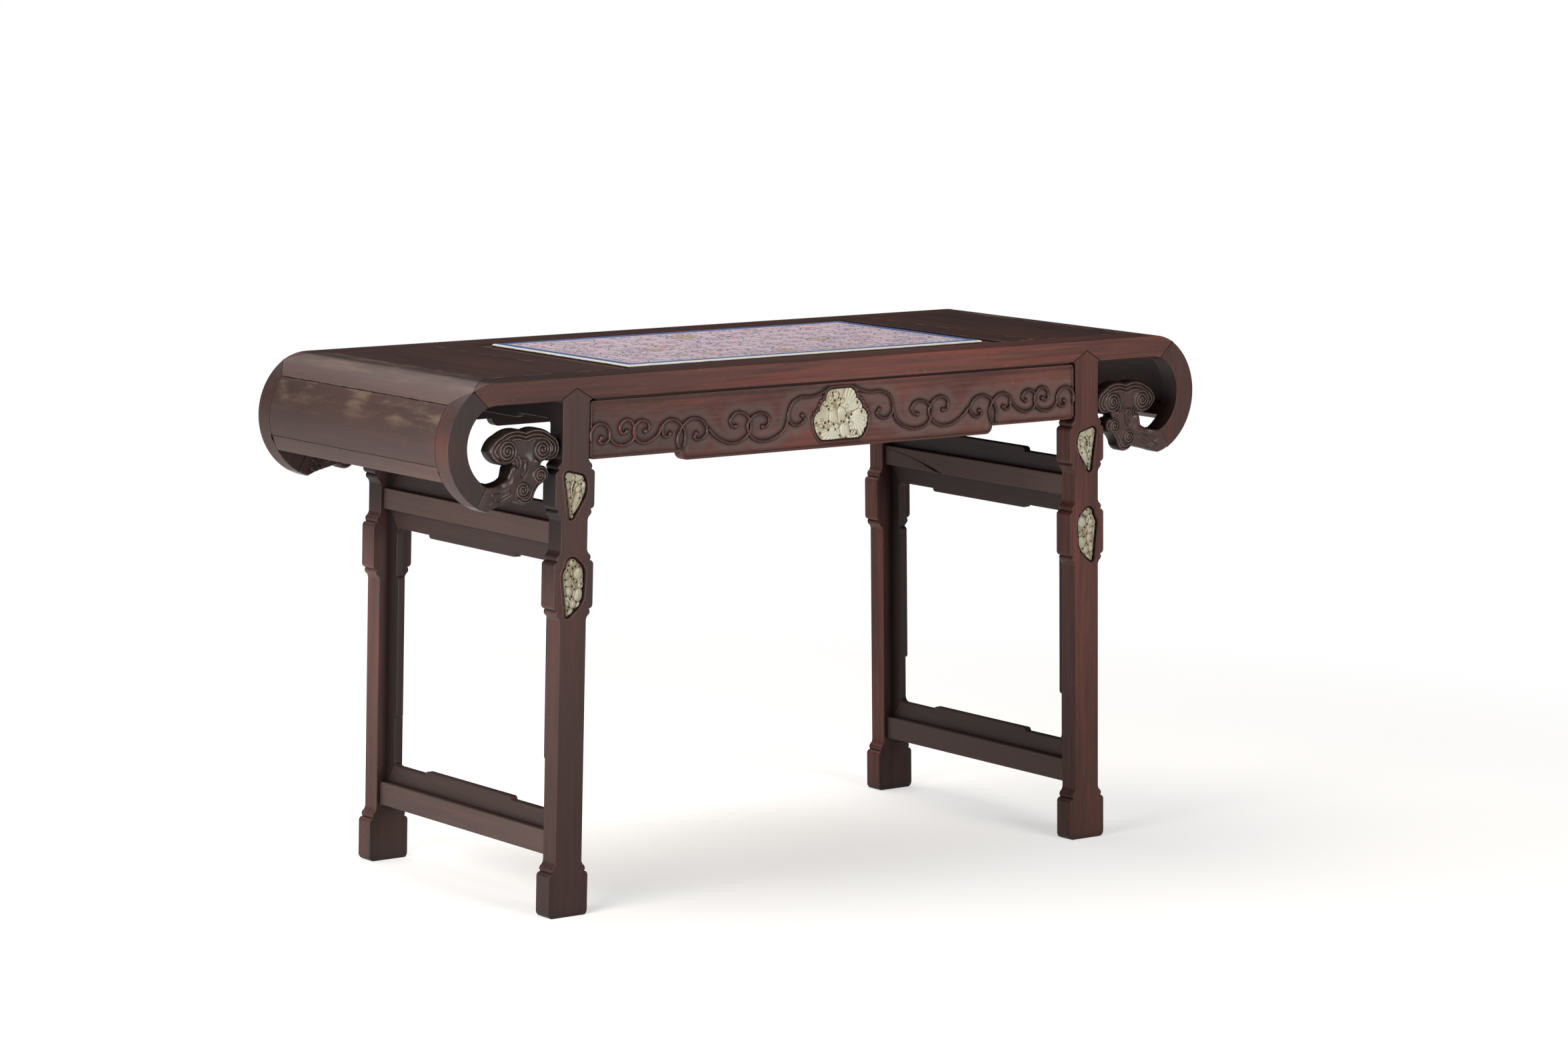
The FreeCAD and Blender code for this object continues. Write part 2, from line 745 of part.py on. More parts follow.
def opening(y, z_low, z_high, step, mid_half):
    """Hole of an end frame: stepped above and below, and at the sides where mid_half is given."""
    step_y = leg_in_y - step_from_leg
    lift = step * (1 - arc_in)
    round_in = open_r * arc_in
    run = [
        (0.0, z_high - step),
        (step_y - step, z_high - step),
        ((step_y - step + lift, z_high - lift), (step_y, z_high)),
        (y - open_r, z_high),
        ((y - round_in, z_high - round_in), (y, z_high - open_r)),
    ]
    if mid_half:
        mid = (z_low + z_high) / 2
        run += [
            (y, mid + mid_half),
            ((y - lift, mid + mid_half - step + lift), (y - step, mid + mid_half - step)),
            (y - step, mid - mid_half + step),
            ((y - lift, mid - mid_half + step - lift), (y, mid - mid_half)),
        ]
    run += [
        (y, z_low + open_r),
        ((y - round_in, z_low + round_in), (y - open_r, z_low)),
        (step_y, z_low),
        ((step_y - step + lift, z_low + lift), (step_y - step, z_low + step)),
        (0.0, z_low + step),
    ]
    return prism("x", -board_t, board_t, *mirrored(run))


def lining(zs, y, z_low, z_high, hole):
    """Mitred boards round an opening: the top, the bottom and the front side."""
    w = board_t / 2
    sheet = box(-w, w, -leg_in_y, leg_in_y, *zs).cut(hole)
    middle = (0.0, (z_low + z_high) / 2)
    low_end, high_end = zs
    top = prism("x", -w, w, (-leg_in_y, high_end), (leg_in_y, high_end), (y, z_high), middle, (-y, z_high))
    low = prism("x", -w, w, (-leg_in_y, low_end), (leg_in_y, low_end), (y, z_low), middle, (-y, z_low))
    side = prism("x", -w, w, (-leg_in_y, low_end), (-leg_in_y, high_end), (-y, z_high), middle, (-y, z_low))
    return (
        sheet.common(top),
        join(sheet.common(low), board_tongue(low_end - tongue_l, low_end + tongue_root)),
        join(sheet.common(side), side_tongue(zs, tongue_root, 0)),
    )


# Lower opening, closed on all four sides by boards
low_y = leg_in_y - low_side_w
low_zs = (low_frame[0] + low_bottom_w, low_frame[1] - low_top_w)
low_hole = opening(low_y, *low_zs, low_step, low_mid_half)
low_top, low_bottom, low_side = lining(low_frame, low_y, *low_zs, low_hole)
low_top = join(low_top, board_tongue(low_frame[1] - tongue_root, low_frame[1] + tongue_l))
save_pair("lower_top_board", splay(low_top))
save_pair("lower_bottom_board", splay(low_bottom))
save_four("lower_side_board", splay(low_side))

# Upper opening: its top board is the end apron, which runs up to the underside of the panel
up_y = leg_in_y - up_side_w
up_zs = (up_frame[0] + up_bottom_w, up_frame[1] - up_top_w)
up_hole = opening(up_y, *up_zs, up_step, 0)
up_top, up_bottom, up_side = lining(up_frame, up_y, *up_zs, up_hole)
save_pair("upper_bottom_board", splay(up_bottom))
save_four("upper_side_board", splay(up_side).common(below(rail_z)))
between_rails = rail_in_y - slip
upstand = box(-board_t / 2, board_t / 2, -between_rails, between_rails, rail_z - tongue_root, top_z)
end_apron = join(up_top, upstand)
under_top = join(below(rail_z), box(0, reach, -between_rails, between_rails, 0, top_z - panel_t))
save_pair("end_apron", splay(end_apron).common(under_top).removeSplitter())
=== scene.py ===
# %% [markdown]
# # A scroll-ended altar table
# The table is dark, waxed hardwood. Its top is a frame with flat panels and a painted porcelain plaque, and
# both ends roll over into carved cloud heads. The solids of every piece come packed as a frame, in metres,
# with the origin on the floor under the middle. This lesson dresses them: it eases the edges, carves the
# relief, and gives each surface its finish.

# %% Load the frame
import math
import random

import bmesh
import bpy
import numpy as np
from mathutils import Matrix, Vector
from mathutils.bvhtree import BVHTree
from mathutils.geometry import delaunay_2d_cdt


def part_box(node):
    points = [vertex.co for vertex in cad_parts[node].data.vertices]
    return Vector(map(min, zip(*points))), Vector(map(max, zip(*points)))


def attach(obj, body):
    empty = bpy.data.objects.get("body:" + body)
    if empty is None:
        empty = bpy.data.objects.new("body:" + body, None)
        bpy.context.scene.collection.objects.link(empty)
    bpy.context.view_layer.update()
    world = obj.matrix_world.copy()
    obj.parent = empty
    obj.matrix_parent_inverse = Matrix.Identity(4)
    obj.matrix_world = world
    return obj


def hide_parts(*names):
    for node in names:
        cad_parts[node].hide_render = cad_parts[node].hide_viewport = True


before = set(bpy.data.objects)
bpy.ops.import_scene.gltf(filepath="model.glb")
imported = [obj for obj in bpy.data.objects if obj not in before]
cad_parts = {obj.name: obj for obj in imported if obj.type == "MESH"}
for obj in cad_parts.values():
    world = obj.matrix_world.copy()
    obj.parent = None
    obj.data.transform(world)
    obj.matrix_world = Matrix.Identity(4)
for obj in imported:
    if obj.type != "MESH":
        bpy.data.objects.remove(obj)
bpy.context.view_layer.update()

mm = 0.001
body = "root"
scene = bpy.context.scene
scene.view_settings.view_transform = "Standard"
print("nodes:", len(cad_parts))

# %% [markdown]
# ## The camera
# The photograph was taken with a long lens from the front left, a little above the top. A camera can be
# aimed by hand, but here its place was worked out from the straight edges of the table, so it is written as
# a place, two angles, a slight roll and a lens. The turning matrix is built from its right, up and back
# directions.

# %% Camera
camera_place = Vector((-4.58952, -6.28421, 1.63362))
camera_yaw = math.radians(36.701)
camera_pitch = math.radians(-7.972)
camera_roll = math.radians(0.386)
camera_lens = 109.78
camera_sensor = 36
camera_far = 60


def add_camera():
    ahead = Vector((math.sin(camera_yaw) * math.cos(camera_pitch),
                    math.cos(camera_yaw) * math.cos(camera_pitch),
                    math.sin(camera_pitch)))
    level = Vector((math.cos(camera_yaw), -math.sin(camera_yaw), 0))
    above = level.cross(ahead)
    right = math.cos(camera_roll) * level + math.sin(camera_roll) * above
    up = math.cos(camera_roll) * above - math.sin(camera_roll) * level
    lens = bpy.data.cameras.new("camera")
    lens.lens = camera_lens
    lens.sensor_width = camera_sensor
    lens.clip_end = camera_far
    camera = bpy.data.objects.new("camera", lens)
    turn = Matrix((right, up, -ahead)).transposed()
    camera.matrix_world = Matrix.Translation(camera_place) @ turn.to_4x4()
    scene.collection.objects.link(camera)
    scene.camera = camera
    return camera


print("camera at", [round(v, 3) for v in add_camera().location])

# %% [markdown]
# ## Shader maths as expressions
# A finish is a tree of nodes. Linking them by hand hides the idea, so one small class wraps a socket: adding
# or multiplying two of them adds the Math node, and `node` adds any other kind. A few short methods stand on
# `node` for what nearly every finish needs: a place, a number of the piece, noise, and colour over colour.


# %% A socket that can be reckoned with
class Wire:
    def __init__(self, tree, socket=None):
        self.tree = tree
        self.socket = socket

    def node(self, kind, settings=None, inputs=None, out=0):
        made = self.tree.nodes.new(kind)
        for key, value in (settings or {}).items():
            setattr(made, key, value)
        for key, value in (inputs or {}).items():
            if isinstance(value, (Wire, list)):
                for wire in value if isinstance(value, list) else [value]:
                    self.tree.links.new(wire.socket, made.inputs[key])
            else:
                made.inputs[key].default_value = value
        return Wire(self.tree, made.outputs[out] if made.outputs else None)

    def math(self, operation, a, b=0.0):
        return self.node("ShaderNodeMath", {"operation": operation}, {0: a, 1: b})

    def __add__(self, other):
        return self.math("ADD", self, other)

    __radd__ = __add__

    def __sub__(self, other):
        return self.math("SUBTRACT", self, other)

    def __rsub__(self, other):
        return self.math("SUBTRACT", other, self)

    def __mul__(self, other):
        return self.math("MULTIPLY", self, other)

    __rmul__ = __mul__

    def between(self, low, high):
        """0 below low, 1 above high, eased between."""
        limits = {"Value": self, "From Min": low, "From Max": high}
        return self.node("ShaderNodeMapRange", {"interpolation_type": "SMOOTHSTEP"}, limits)

    def vector(self, operation, a, b=(0, 0, 0), out="Vector"):
        return self.node("ShaderNodeVectorMath", {"operation": operation}, {0: a, 1: b}, out)

    def join(self, x, y, z):
        return self.node("ShaderNodeCombineXYZ", {}, {"X": x, "Y": y, "Z": z})

    def part(self, vector, axis):
        return self.node("ShaderNodeSeparateXYZ", {}, {"Vector": vector}, axis)

    def place(self):
        """Where a point lies in the piece's own space, which is the table's."""
        return self.node("ShaderNodeTexCoord", {}, {}, "Object")

    def number(self, name):
        """A number that the piece or its points carry."""
        return self.node("ShaderNodeAttribute", {"attribute_name": name}, {}, "Fac")

    def noise(self, coords, scale, detail=3.0, roughness=0.5, distortion=0.0):
        sizes = {"Vector": coords, "Scale": scale, "Detail": detail, "Roughness": roughness,
                 "Distortion": distortion}
        return self.node("ShaderNodeTexNoise", {}, sizes)

    def blend(self, share, a, b, mode="MIX"):
        """Colour a with share of colour b over it."""
        settings = {"data_type": "RGBA", "blend_type": mode}
        return self.node("ShaderNodeMix", settings, {"Factor": share, 6: a, 7: b}, out=2)

    def layers(self, base, coats):
        """Coats of (share, colour), laid over a base one after the other."""
        for share, paint in coats:
            base = self.blend(share, base, paint)
        return base

    def dimmed(self, paint, tone):
        """A colour times a number."""
        grey = self.node("ShaderNodeCombineColor", {}, {0: tone, 1: tone, 2: tone})
        return self.blend(1.0, paint, grey, "MULTIPLY")

    def bump(self, height, distance):
        return self.node("ShaderNodeBump", {}, {"Strength": 0.1, "Distance": distance, "Height": height})


print("steps of a wire:", [name for name in vars(Wire) if not name.startswith("_")])


# %% Colours, and a finish from first node to last
def colour(red, green, blue):
    """A colour given as 0 to 255 on screen, in linear light for a shader."""
    def linear(v):
        v = v / 255
        return v / 12.92 if v <= 0.04045 else ((v + 0.055) / 1.055) ** 2.4
    return (linear(red), linear(green), linear(blue), 1.0)


def new_finish(name):
    material = bpy.data.materials.new(name)
    material.use_nodes = True
    material.node_tree.nodes.clear()
    return material, Wire(material.node_tree)


def close_finish(wire, **sockets):
    """A Principled shader with these sockets, linked to the output."""
    named = {key.replace("_", " "): value for key, value in sockets.items()}
    shader = wire.node("ShaderNodeBsdfPrincipled", {}, named)
    wire.node("ShaderNodeOutputMaterial", {}, {"Surface": shader})


print("mid grey in linear light:", round(colour(128, 128, 128)[0], 3))

# %% [markdown]
# ## The stage
# A pale floor, wide enough to fill the view, and soft light. The floor's white is a glow that only the camera
# and reflections see, so it throws no light on the table. It is mixed with a plain floor that keeps the
# shadow, and a soft painted shadow makes it a little browner and dimmer under the table. A broad lamp in
# front, a small one at the left end and a ceiling panel give the light of a studio; the panel's reflection is
# the grey sheen along the rolled end, with a painted sheen in the wood's colour besides.

# %% Floor, surround and lamps
floor_half = 90.0
floor_colour = (0.86, 0.82, 0.78, 1)
# Colour of the browner painted shadow under the table
floor_painted_shadow = (0.74, 0.69, 0.64, 1)
floor_unseen = (0.28, 0.27, 0.26, 1)
# Reach and fade of the painted shadow, and how much glow it takes away
painted_shadow_reach = (0.78, 0.52, 1.0)
painted_shadow_fade = (0.2, 1.0)
painted_shadow_glow_loss = 0.2
glow_strength = 1.7
glow_share = 0.3
all_white_from = (1.2, 2.4)
white = (1, 1, 1, 1)
surround_light = 0.05
# Name, place and aim in metres, width in metres, power in watts
lamps = [
    ("front_lamp", (0.7, -4.6, 1.8), (0, 0, 0.55), 2.6, 150),
    ("left_lamp", (-1.9, -0.7, 0.8), (-0.6, 0, 0.4), 1.2, 38),
    ("ceiling_panel", (-0.4, 2.0, 4.4), (-0.4, 1.6, 0.0), 4.5, 190),
]


def add_floor():
    material, wire = new_finish("pale_floor")
    camera, glossy, through = (wire.node("ShaderNodeLightPath", {}, {}, "Is " + kind + " Ray")
                               for kind in ("Camera", "Glossy", "Transmission"))
    seen = camera + glossy + through
    place = wire.place()
    away = wire.vector("LENGTH", place, out="Value")
    # Painted shadow: a soft oval under the table, where the floor is browner and glows less
    oval = wire.vector("DIVIDE", place, painted_shadow_reach)
    under = 1.0 - wire.vector("LENGTH", oval, out="Value").between(*painted_shadow_fade)
    shade = wire.blend(under, floor_colour, floor_painted_shadow)
    dry = wire.node("ShaderNodeBsdfDiffuse", {}, {"Color": wire.blend(seen, floor_unseen, shade)})
    glow = wire.node("ShaderNodeEmission", {}, {"Color": white, "Strength": glow_strength})
    plain = wire.node("ShaderNodeEmission", {}, {"Color": white, "Strength": 1.0})
    share = seen * glow_share * (1.0 - under * painted_shadow_glow_loss)
    near = wire.node("ShaderNodeMixShader", {}, {0: share, 1: dry, 2: glow})
    far = seen * away.between(*all_white_from)
    both = wire.node("ShaderNodeMixShader", {}, {0: far, 1: near, 2: plain})
    wire.node("ShaderNodeOutputMaterial", {}, {"Surface": both})
    mesh = bpy.data.meshes.new("floor")
    h = floor_half
    mesh.from_pydata([(-h, -h, 0), (h, -h, 0), (h, h, 0), (-h, h, 0)], [], [(0, 1, 2, 3)])
    mesh.materials.append(material)
    floor = bpy.data.objects.new("floor", mesh)
    scene.collection.objects.link(floor)


def add_surround():
    world = bpy.data.worlds.new("surround")
    scene.world = world
    world.use_nodes = True
    world.node_tree.nodes.clear()
    wire = Wire(world.node_tree)
    soft = wire.node("ShaderNodeBackground", {}, {"Color": white, "Strength": surround_light})
    wire.node("ShaderNodeOutputWorld", {}, {"Surface": soft})


def add_lamp(name, place, aim, size, power):
    lamp = bpy.data.lights.new(name, "AREA")
    lamp.shape = "DISK"
    lamp.size = size
    lamp.energy = power
    shown = bpy.data.objects.new(name, lamp)
    shown.location = place
    shown.rotation_euler = (Vector(aim) - Vector(place)).to_track_quat("-Z", "Y").to_euler()
    scene.collection.objects.link(shown)


add_floor()
add_surround()
for lamp in lamps:
    add_lamp(*lamp)
print("lamps:", len(lamps))

# %% [markdown]
# ## Dark waxed hardwood
# The wood is a dense red-brown with long fine streaks along the grain, short open pores and a worn, satin
# wax. Each board runs its own way, so the grain follows X, Y or Z. The noise is squeezed across the grain and
# stretched along it, and each piece carries a number that shifts the pattern, so no two boards match. Other
# numbers say how light or worn the piece is, and paint light and shade on its sides, top and feet and under
# the roll; the wear also lays a grey painted sheen. Old wax and dirt gather where pieces meet, and painted
# shade darkens those corners too, which the Ambient Occlusion node finds from the shapes around a point.
# Cloud heads and tendrils are rubbed brighter, and the crests of the cloud heads carry a painted highlight.

# %% Hardwood finish
grain_turns = {"x": (0, 0, 0), "y": (0, 0, math.pi / 2), "z": (0, math.pi / 2, 0)}
wood_dark, wood_light = colour(58, 36, 33), colour(104, 62, 53)
ember_red, pore_brown, blush_red = colour(122, 58, 46), colour(34, 22, 20), colour(150, 76, 58)
worn_and_sheen_grey, scuff_pale = colour(90, 75, 71), colour(150, 126, 108)
smear_and_sheen_tan, crest_wear_and_highlight = colour(134, 113, 92), colour(146, 126, 112)
hollow_dirt_and_shade, rust_brown, grime_and_shade_black = colour(30, 24, 21), colour(116, 66, 38), colour(18, 13, 12)
line_dark, line_dust, line_pale = colour(17, 11, 10), colour(58, 44, 36), colour(150, 124, 104)
# Where things begin and end, in metres
top_face = (0.8380, 0.8396)
top_lines = (0.8385, 0.8395)
foot_scuffs = (0.03, 0.09)
low_shadow = (0.02, 0.42)
roll_shadow = (0.46, 0.62)
lean_span = (-0.62, 0.1)
roll_begins = (0.61, 0.63)
panel_rub_low, panel_rub_high = (0.752, 0.79), (0.804, 0.811)
rail_rub_and_sheen = (0.822, 0.836)
blush_place = (-0.741, -0.262, 0.742)
blush_reach = (0.008, 0.045)
# How much darker the flat top and the feet are painted, as shade, and how much smoother the top
top_painted_shade = 0.42
feet_painted_shade = 0.32
top_smoother = 0.4


def hardwood(name, grain, satin=0.38, shine=0.24, grime_and_shade_reach=0.02):
    """Wood with its grain along an axis; satin is the least roughness, and shine the specular level."""
    material, wire = new_finish(name)
    spot = wire.place()
    piece, tone, side, lean, shade = map(wire.number, ("piece", "tone", "side", "lean", "shade"))
    hollow, worn = wire.number("hollow"), wire.number("worn")
    place = wire.vector("ADD", spot, wire.join(piece * 1.7, piece * 0.9, piece * 1.3))
    turned = wire.node("ShaderNodeMapping", {}, {"Vector": place, "Rotation": grain_turns[grain]})

    def streaks(length, width, detail=3.0, roughness=0.6, distortion=0.0):
        """Noise drawn out along the grain; its length and width are in millimetres."""
        scale = (1 / (length * mm), 1 / (width * mm), 1 / (width * mm))
        drawn = wire.node("ShaderNodeMapping", {}, {"Vector": turned, "Scale": scale})
        return wire.noise(drawn, 1.0, detail, roughness, distortion)

    cloud = streaks(400, 100, roughness=0.5)
    streak = streaks(220, 7, detail=4.0, distortion=0.3)
    fine = streaks(60, 1.4)
    ember = streaks(300, 16, distortion=0.5).between(0.53, 0.70)
    pore = streaks(14, 0.5, detail=1.0, roughness=0.5).between(0.60, 0.72)
    rubbed = streaks(90, 22, detail=4.0, distortion=0.15)
    scuff = wire.noise(place, 70.0, 3.0, 0.7).between(0.67, 0.75)
    level, across = wire.part(spot, "Z"), wire.part(spot, "X")
    normal = wire.node("ShaderNodeNewGeometry", {}, {}, "Normal")
    sideways = 1.0 - wire.math("ABSOLUTE", wire.part(normal, "Y")).between(0.3, 0.8)
    flat_top = level.between(*top_face)
    foot = 1.0 - level.between(*foot_scuffs)
    blush = 1.0 - wire.vector("DISTANCE", spot, blush_place, "Value").between(*blush_reach)
    band = (streak * 0.55 + fine * 0.25 + cloud * 0.5 - 0.15).between(0.28, 0.74)
    wood = wire.layers(wire.blend(band, wood_dark, wood_light), [
        (ember * 0.4, ember_red), (pore * 0.4, pore_brown), (worn * 1.1, worn_and_sheen_grey),
        (scuff * (0.2 + foot * 0.5), scuff_pale), (blush * 0.2, blush_red)])
    # Painted light and shade: darker top, lighter or darker sides, shade under the roll and near the floor
    tone = tone * (1.0 - flat_top * top_painted_shade) * (1.0 + side * sideways)
    tone = tone * (1.0 - shade * sideways * level.between(*roll_shadow))
    tone = tone * (1.0 - lean * (1.0 - across.between(*lean_span)))
    tone = tone * (1.0 - feet_painted_shade + level.between(*low_shadow) * feet_painted_shade)
    # Tan wear on the roll's shoulders, which also paints the grey-tan sheen below the top
    shoulder = level.between(*panel_rub_low) * (1.0 - level.between(*panel_rub_high))
    shoulder = (shoulder + level.between(*rail_rub_and_sheen)) * wire.math("ABSOLUTE", across).between(*roll_begins)
    smear_and_sheen = rubbed.between(0.44, 0.72) * worn.between(0.5, 0.6) * shoulder
    rust = wire.noise(place, 75.0, 3.0, 0.6).between(0.58, 0.68) * hollow.between(0.15, 0.5)
    # Painted highlight on crests, dirt and painted shade in hollows, painted shade and grime in corners
    sky = wire.node("ShaderNodeAmbientOcclusion", {"samples": 6}, {"Distance": grime_and_shade_reach}, "AO")
    wood = wire.layers(wire.dimmed(wood, tone), [
        (smear_and_sheen * 0.44, smear_and_sheen_tan), (worn.between(0.74, 0.95) * 0.65, crest_wear_and_highlight),
        (hollow * 0.85, hollow_dirt_and_shade), (rust * 0.25, rust_brown),
        ((1.0 - sky.between(0.30, 0.94)) * 0.85, grime_and_shade_black)])
    rough = satin + rubbed * 0.14 + fine * 0.08 + pore * 0.1 + hollow * 0.25
    bump = wire.bump(fine * 0.35 + streak * 0.25 - pore * 0.5, 0.4 * mm)
    close_finish(wire, Base_Color=wood, Roughness=rough * (1.0 - flat_top * top_smoother), Normal=bump,
                 Specular_IOR_Level=shine)
    return material


def joint_finish():
    """The dark hairline where two pieces meet, full of old wax and dust; also painted shade round the jades.
    """
    material, wire = new_finish("joint_line")
    place = wire.place()
    dust = wire.noise(place, 240.0, 3.0).between(0.45, 0.75)
    filled = wire.part(place, "Z").between(*top_lines) * wire.noise(place, 30.0, 3.0).between(0.45, 0.6)
    line = wire.layers(line_dark, [(dust * 0.5, line_dust), (filled, line_pale)])
    close_finish(wire, Base_Color=line, Roughness=0.75 + dust * 0.15, Specular_IOR_Level=0.1)
    return material


joint_line = joint_finish()
hardwoods = {axis: hardwood("hardwood_" + axis, axis) for axis in "xyz"}
polished_wood = hardwood("polished_hardwood", "z", satin=0.17, shine=0.3, grime_and_shade_reach=0.007)
print("hardwoods:", sorted(hardwoods))

# %% [markdown]
# ## Easing the edges
# A solid straight from the drawing has knife edges. A hand plane takes them off: open edges by about a
# millimetre, and edges that meet a neighbour by less, which leaves the fine dark line of a joint. A Bevel
# modifier with edge weights does both, once the copy's loose triangles are merged and its flat faces
# dissolved. Its new faces take the dark finish where a neighbour is close. Weighted normals keep the broad
# faces flat, so only the edges catch light.

# %% What lies near each piece
box_margin = 1.0 * mm
trees = {}
for node_name, node_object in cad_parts.items():
    points = [v.co for v in node_object.data.vertices]
    faces = [p.vertices[:] for p in node_object.data.polygons]
    trees[node_name] = BVHTree.FromPolygons(points, faces)


def neighbours(node):
    low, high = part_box(node)
    found = []
    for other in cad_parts:
        a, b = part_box(other)
        near = all(a[i] < high[i] + box_margin and b[i] > low[i] - box_margin for i in range(3))
        if near and other != node:
            found.append(other)
    return found


def near_another(point, others, reach):
    return any(trees[other].find_nearest(point, reach)[0] is not None for other in others)


print("solids:", len(trees), "neighbours of a crossbar:", len(neighbours("left_crossbar")))

# %% Eased copies of the wooden pieces
ease_width = 1.5 * mm
ease_segments = 2
joint_share = 0.36
joint_reach = 0.45 * mm
line_reach = 0.8 * mm
merge_reach = 0.004 * mm
crumb = 0.25 * mm
sharp_turn = math.radians(32)
flat_turn = math.radians(0.4)
smooth_turn = math.radians(12)


def merged_copy(node):
    work = bmesh.new()
    work.from_mesh(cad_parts[node].data)
    bmesh.ops.remove_doubles(work, verts=work.verts, dist=merge_reach)
    return work


def made_mesh(work, name):
    mesh = bpy.data.meshes.new(name)
    work.to_mesh(mesh)
    work.free()
    return mesh


def set_numbers(mesh, **numbers):
    """Numbers for the whole piece, which its finish reads by their names."""
    for name, value in numbers.items():
        attribute = mesh.attributes.new(name, "FLOAT", "POINT")
        attribute.data.foreach_set("value", np.full(len(mesh.vertices), value, np.float32))


def add_piece(name, mesh, stands_for=None):
    piece = bpy.data.objects.new(name, mesh)
    scene.collection.objects.link(piece)
    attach(piece, body)
    if stands_for:
        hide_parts(stands_for)
    return piece


def eased_mesh(node, finish):
    work = merged_copy(node)
    bmesh.ops.dissolve_limit(work, angle_limit=flat_turn, verts=work.verts, edges=work.edges)
    bmesh.ops.dissolve_degenerate(work, dist=crumb, edges=work.edges)
    weight = work.edges.layers.float.new("ease")
    others = neighbours(node)
    for edge in work.edges:
        if len(edge.link_faces) == 2 and edge.is_convex and edge.calc_face_angle() > sharp_turn:
            middle = (edge.verts[0].co + edge.verts[1].co) / 2
            edge[weight] = joint_share if near_another(middle, others, joint_reach) else 1.0
        elif len(edge.link_faces) == 2 and edge.calc_face_angle() > smooth_turn:
            edge.smooth = False
    for face in work.faces:
        face.smooth = True
    rough = made_mesh(work, node + "_work")
    rough.materials.clear()
    rough.materials.append(finish)
    rough.materials.append(joint_line)
    stand = bpy.data.objects.new(node + "_work", rough)
    scene.collection.objects.link(stand)
    bevel = stand.modifiers.new("ease", "BEVEL")
    bevel.limit_method = "WEIGHT"
    bevel.edge_weight = "ease"
    bevel.width = ease_width
    bevel.segments = ease_segments
    bevel.material = 1
    bevel.use_clamp_overlap = False
    stand.modifiers.new("flat_faces", "WEIGHTED_NORMAL").keep_sharp = True
    graph = bpy.context.evaluated_depsgraph_get()
    mesh = bpy.data.meshes.new_from_object(stand.evaluated_get(graph))
    bpy.data.objects.remove(stand)
    for face in mesh.polygons:
        if face.material_index == 1 and not near_another(face.center, others, line_reach):
            face.material_index = 0
    return mesh


print("open edges eased by", round(ease_width / mm, 2), "mm")

# %% [markdown]
# ## One board differs from the next
# The boards came from different logs and have aged in different light, so each has its own grain direction
# and its own numbers; some of these numbers paint the light and shade that fall on the piece. They could be
# painted by hand on every piece. Short tables keep them in view instead: each is read by the end of the
# piece's name, and the first match counts.

# %% Grain and numbers of each wooden piece
grain_of = {
    "y": ("end_rail", "crossbar", "scroll_panel", "scroll_bottom_rail", "stretcher", "top_board",
          "bottom_board", "end_apron", "top_panel"),
    "z": ("leg", "side_board", "scroll_frame"),
    "x": ("top_front_rail", "top_back_rail", "plaque_bed"),
}
wood_numbers = {
    # How light the piece is: its own tone, with painted shade on inner boards, end aprons and back legs
    "tone": {"top_front_rail": 1.3, "front_left_leg": 0.46, "left_scroll_frame": 0.23,
             "right_scroll_frame": 0.70, "front_right_leg": 0.95, "leg": 0.42, "top_panel": 0.9,
             "crossbar": 0.90, "left_upper_stretcher": 0.70, "left_lower_stretcher": 1.2, "stretcher": 0.90,
             "upper_side_board": 0.14, "side_board": 0.24, "upper_bottom_board": 0.22, "top_board": 0.42,
             "board": 0.5, "end_apron": 0.14, "scroll_panel": 0.52, "end_rail": 0.95,
             "scroll_bottom_rail": 0.72, "": 1.0},
    # How far hands and dusting have rubbed the wax off, which also lays a grey painted sheen
    "worn": {"scroll_panel": 0.6, "end_rail": 0.6, "scroll_bottom_rail": 0.5, "stretcher": 0.6, "board": 0.5,
             "left_scroll_frame": 0.5, "right_scroll_frame": 0.25, "left_leg": 0.3, "end_apron": 0.5,
             "": 0.0},
    # Painted light and shade: how much lighter, or darker, its sides are painted than its front
    "side": {"left_scroll_frame": 1.2, "right_scroll_frame": -0.7, "front_left_leg": 0.4,
             "front_right_leg": -0.3, "back_left_leg": 1.9, "back_right_leg": 2.6, "": 0.0},
    # How much it darkens towards the left end of the table
    "lean": {"top_front_rail": 0.6, "": 0.0},
    # How much its sides darken under the roll
    "shade": {"left_leg": 0.85, "": 0.0},
}
pattern_step = 0.37


def grain_axis(node):
    return next((axis for axis, endings in grain_of.items() if node.endswith(endings)), None)


def value_of(node, values):
    return next(value for ending, value in values.items() if node.endswith(ending))


eased = []
for number, node in enumerate(sorted(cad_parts)):
    axis = grain_axis(node)
    if axis is None:
        continue
    mesh = eased_mesh(node, hardwoods[axis])
    set_numbers(mesh, piece=number * pattern_step)
    set_numbers(mesh, **{name: value_of(node, values) for name, values in wood_numbers.items()})
    eased.append(add_piece("eased_" + node, mesh, node))
print("eased pieces:", len(eased), "faces:", sum(len(piece.data.polygons) for piece in eased))

# %% [markdown]
# ## Raised beads along a path
# Tendrils creep over the aprons, and a fine bead follows their lower edge, the medallion and each jade. All
# are one idea: a rounded cord laid along a curve and half sunk in the wood. Geometry Nodes sweep a circle
# along the curve, set a bud on its first point and press the whole flat, with the sizes as named inputs. A
# second tree sets a row of round knobs along a curve in the same way.


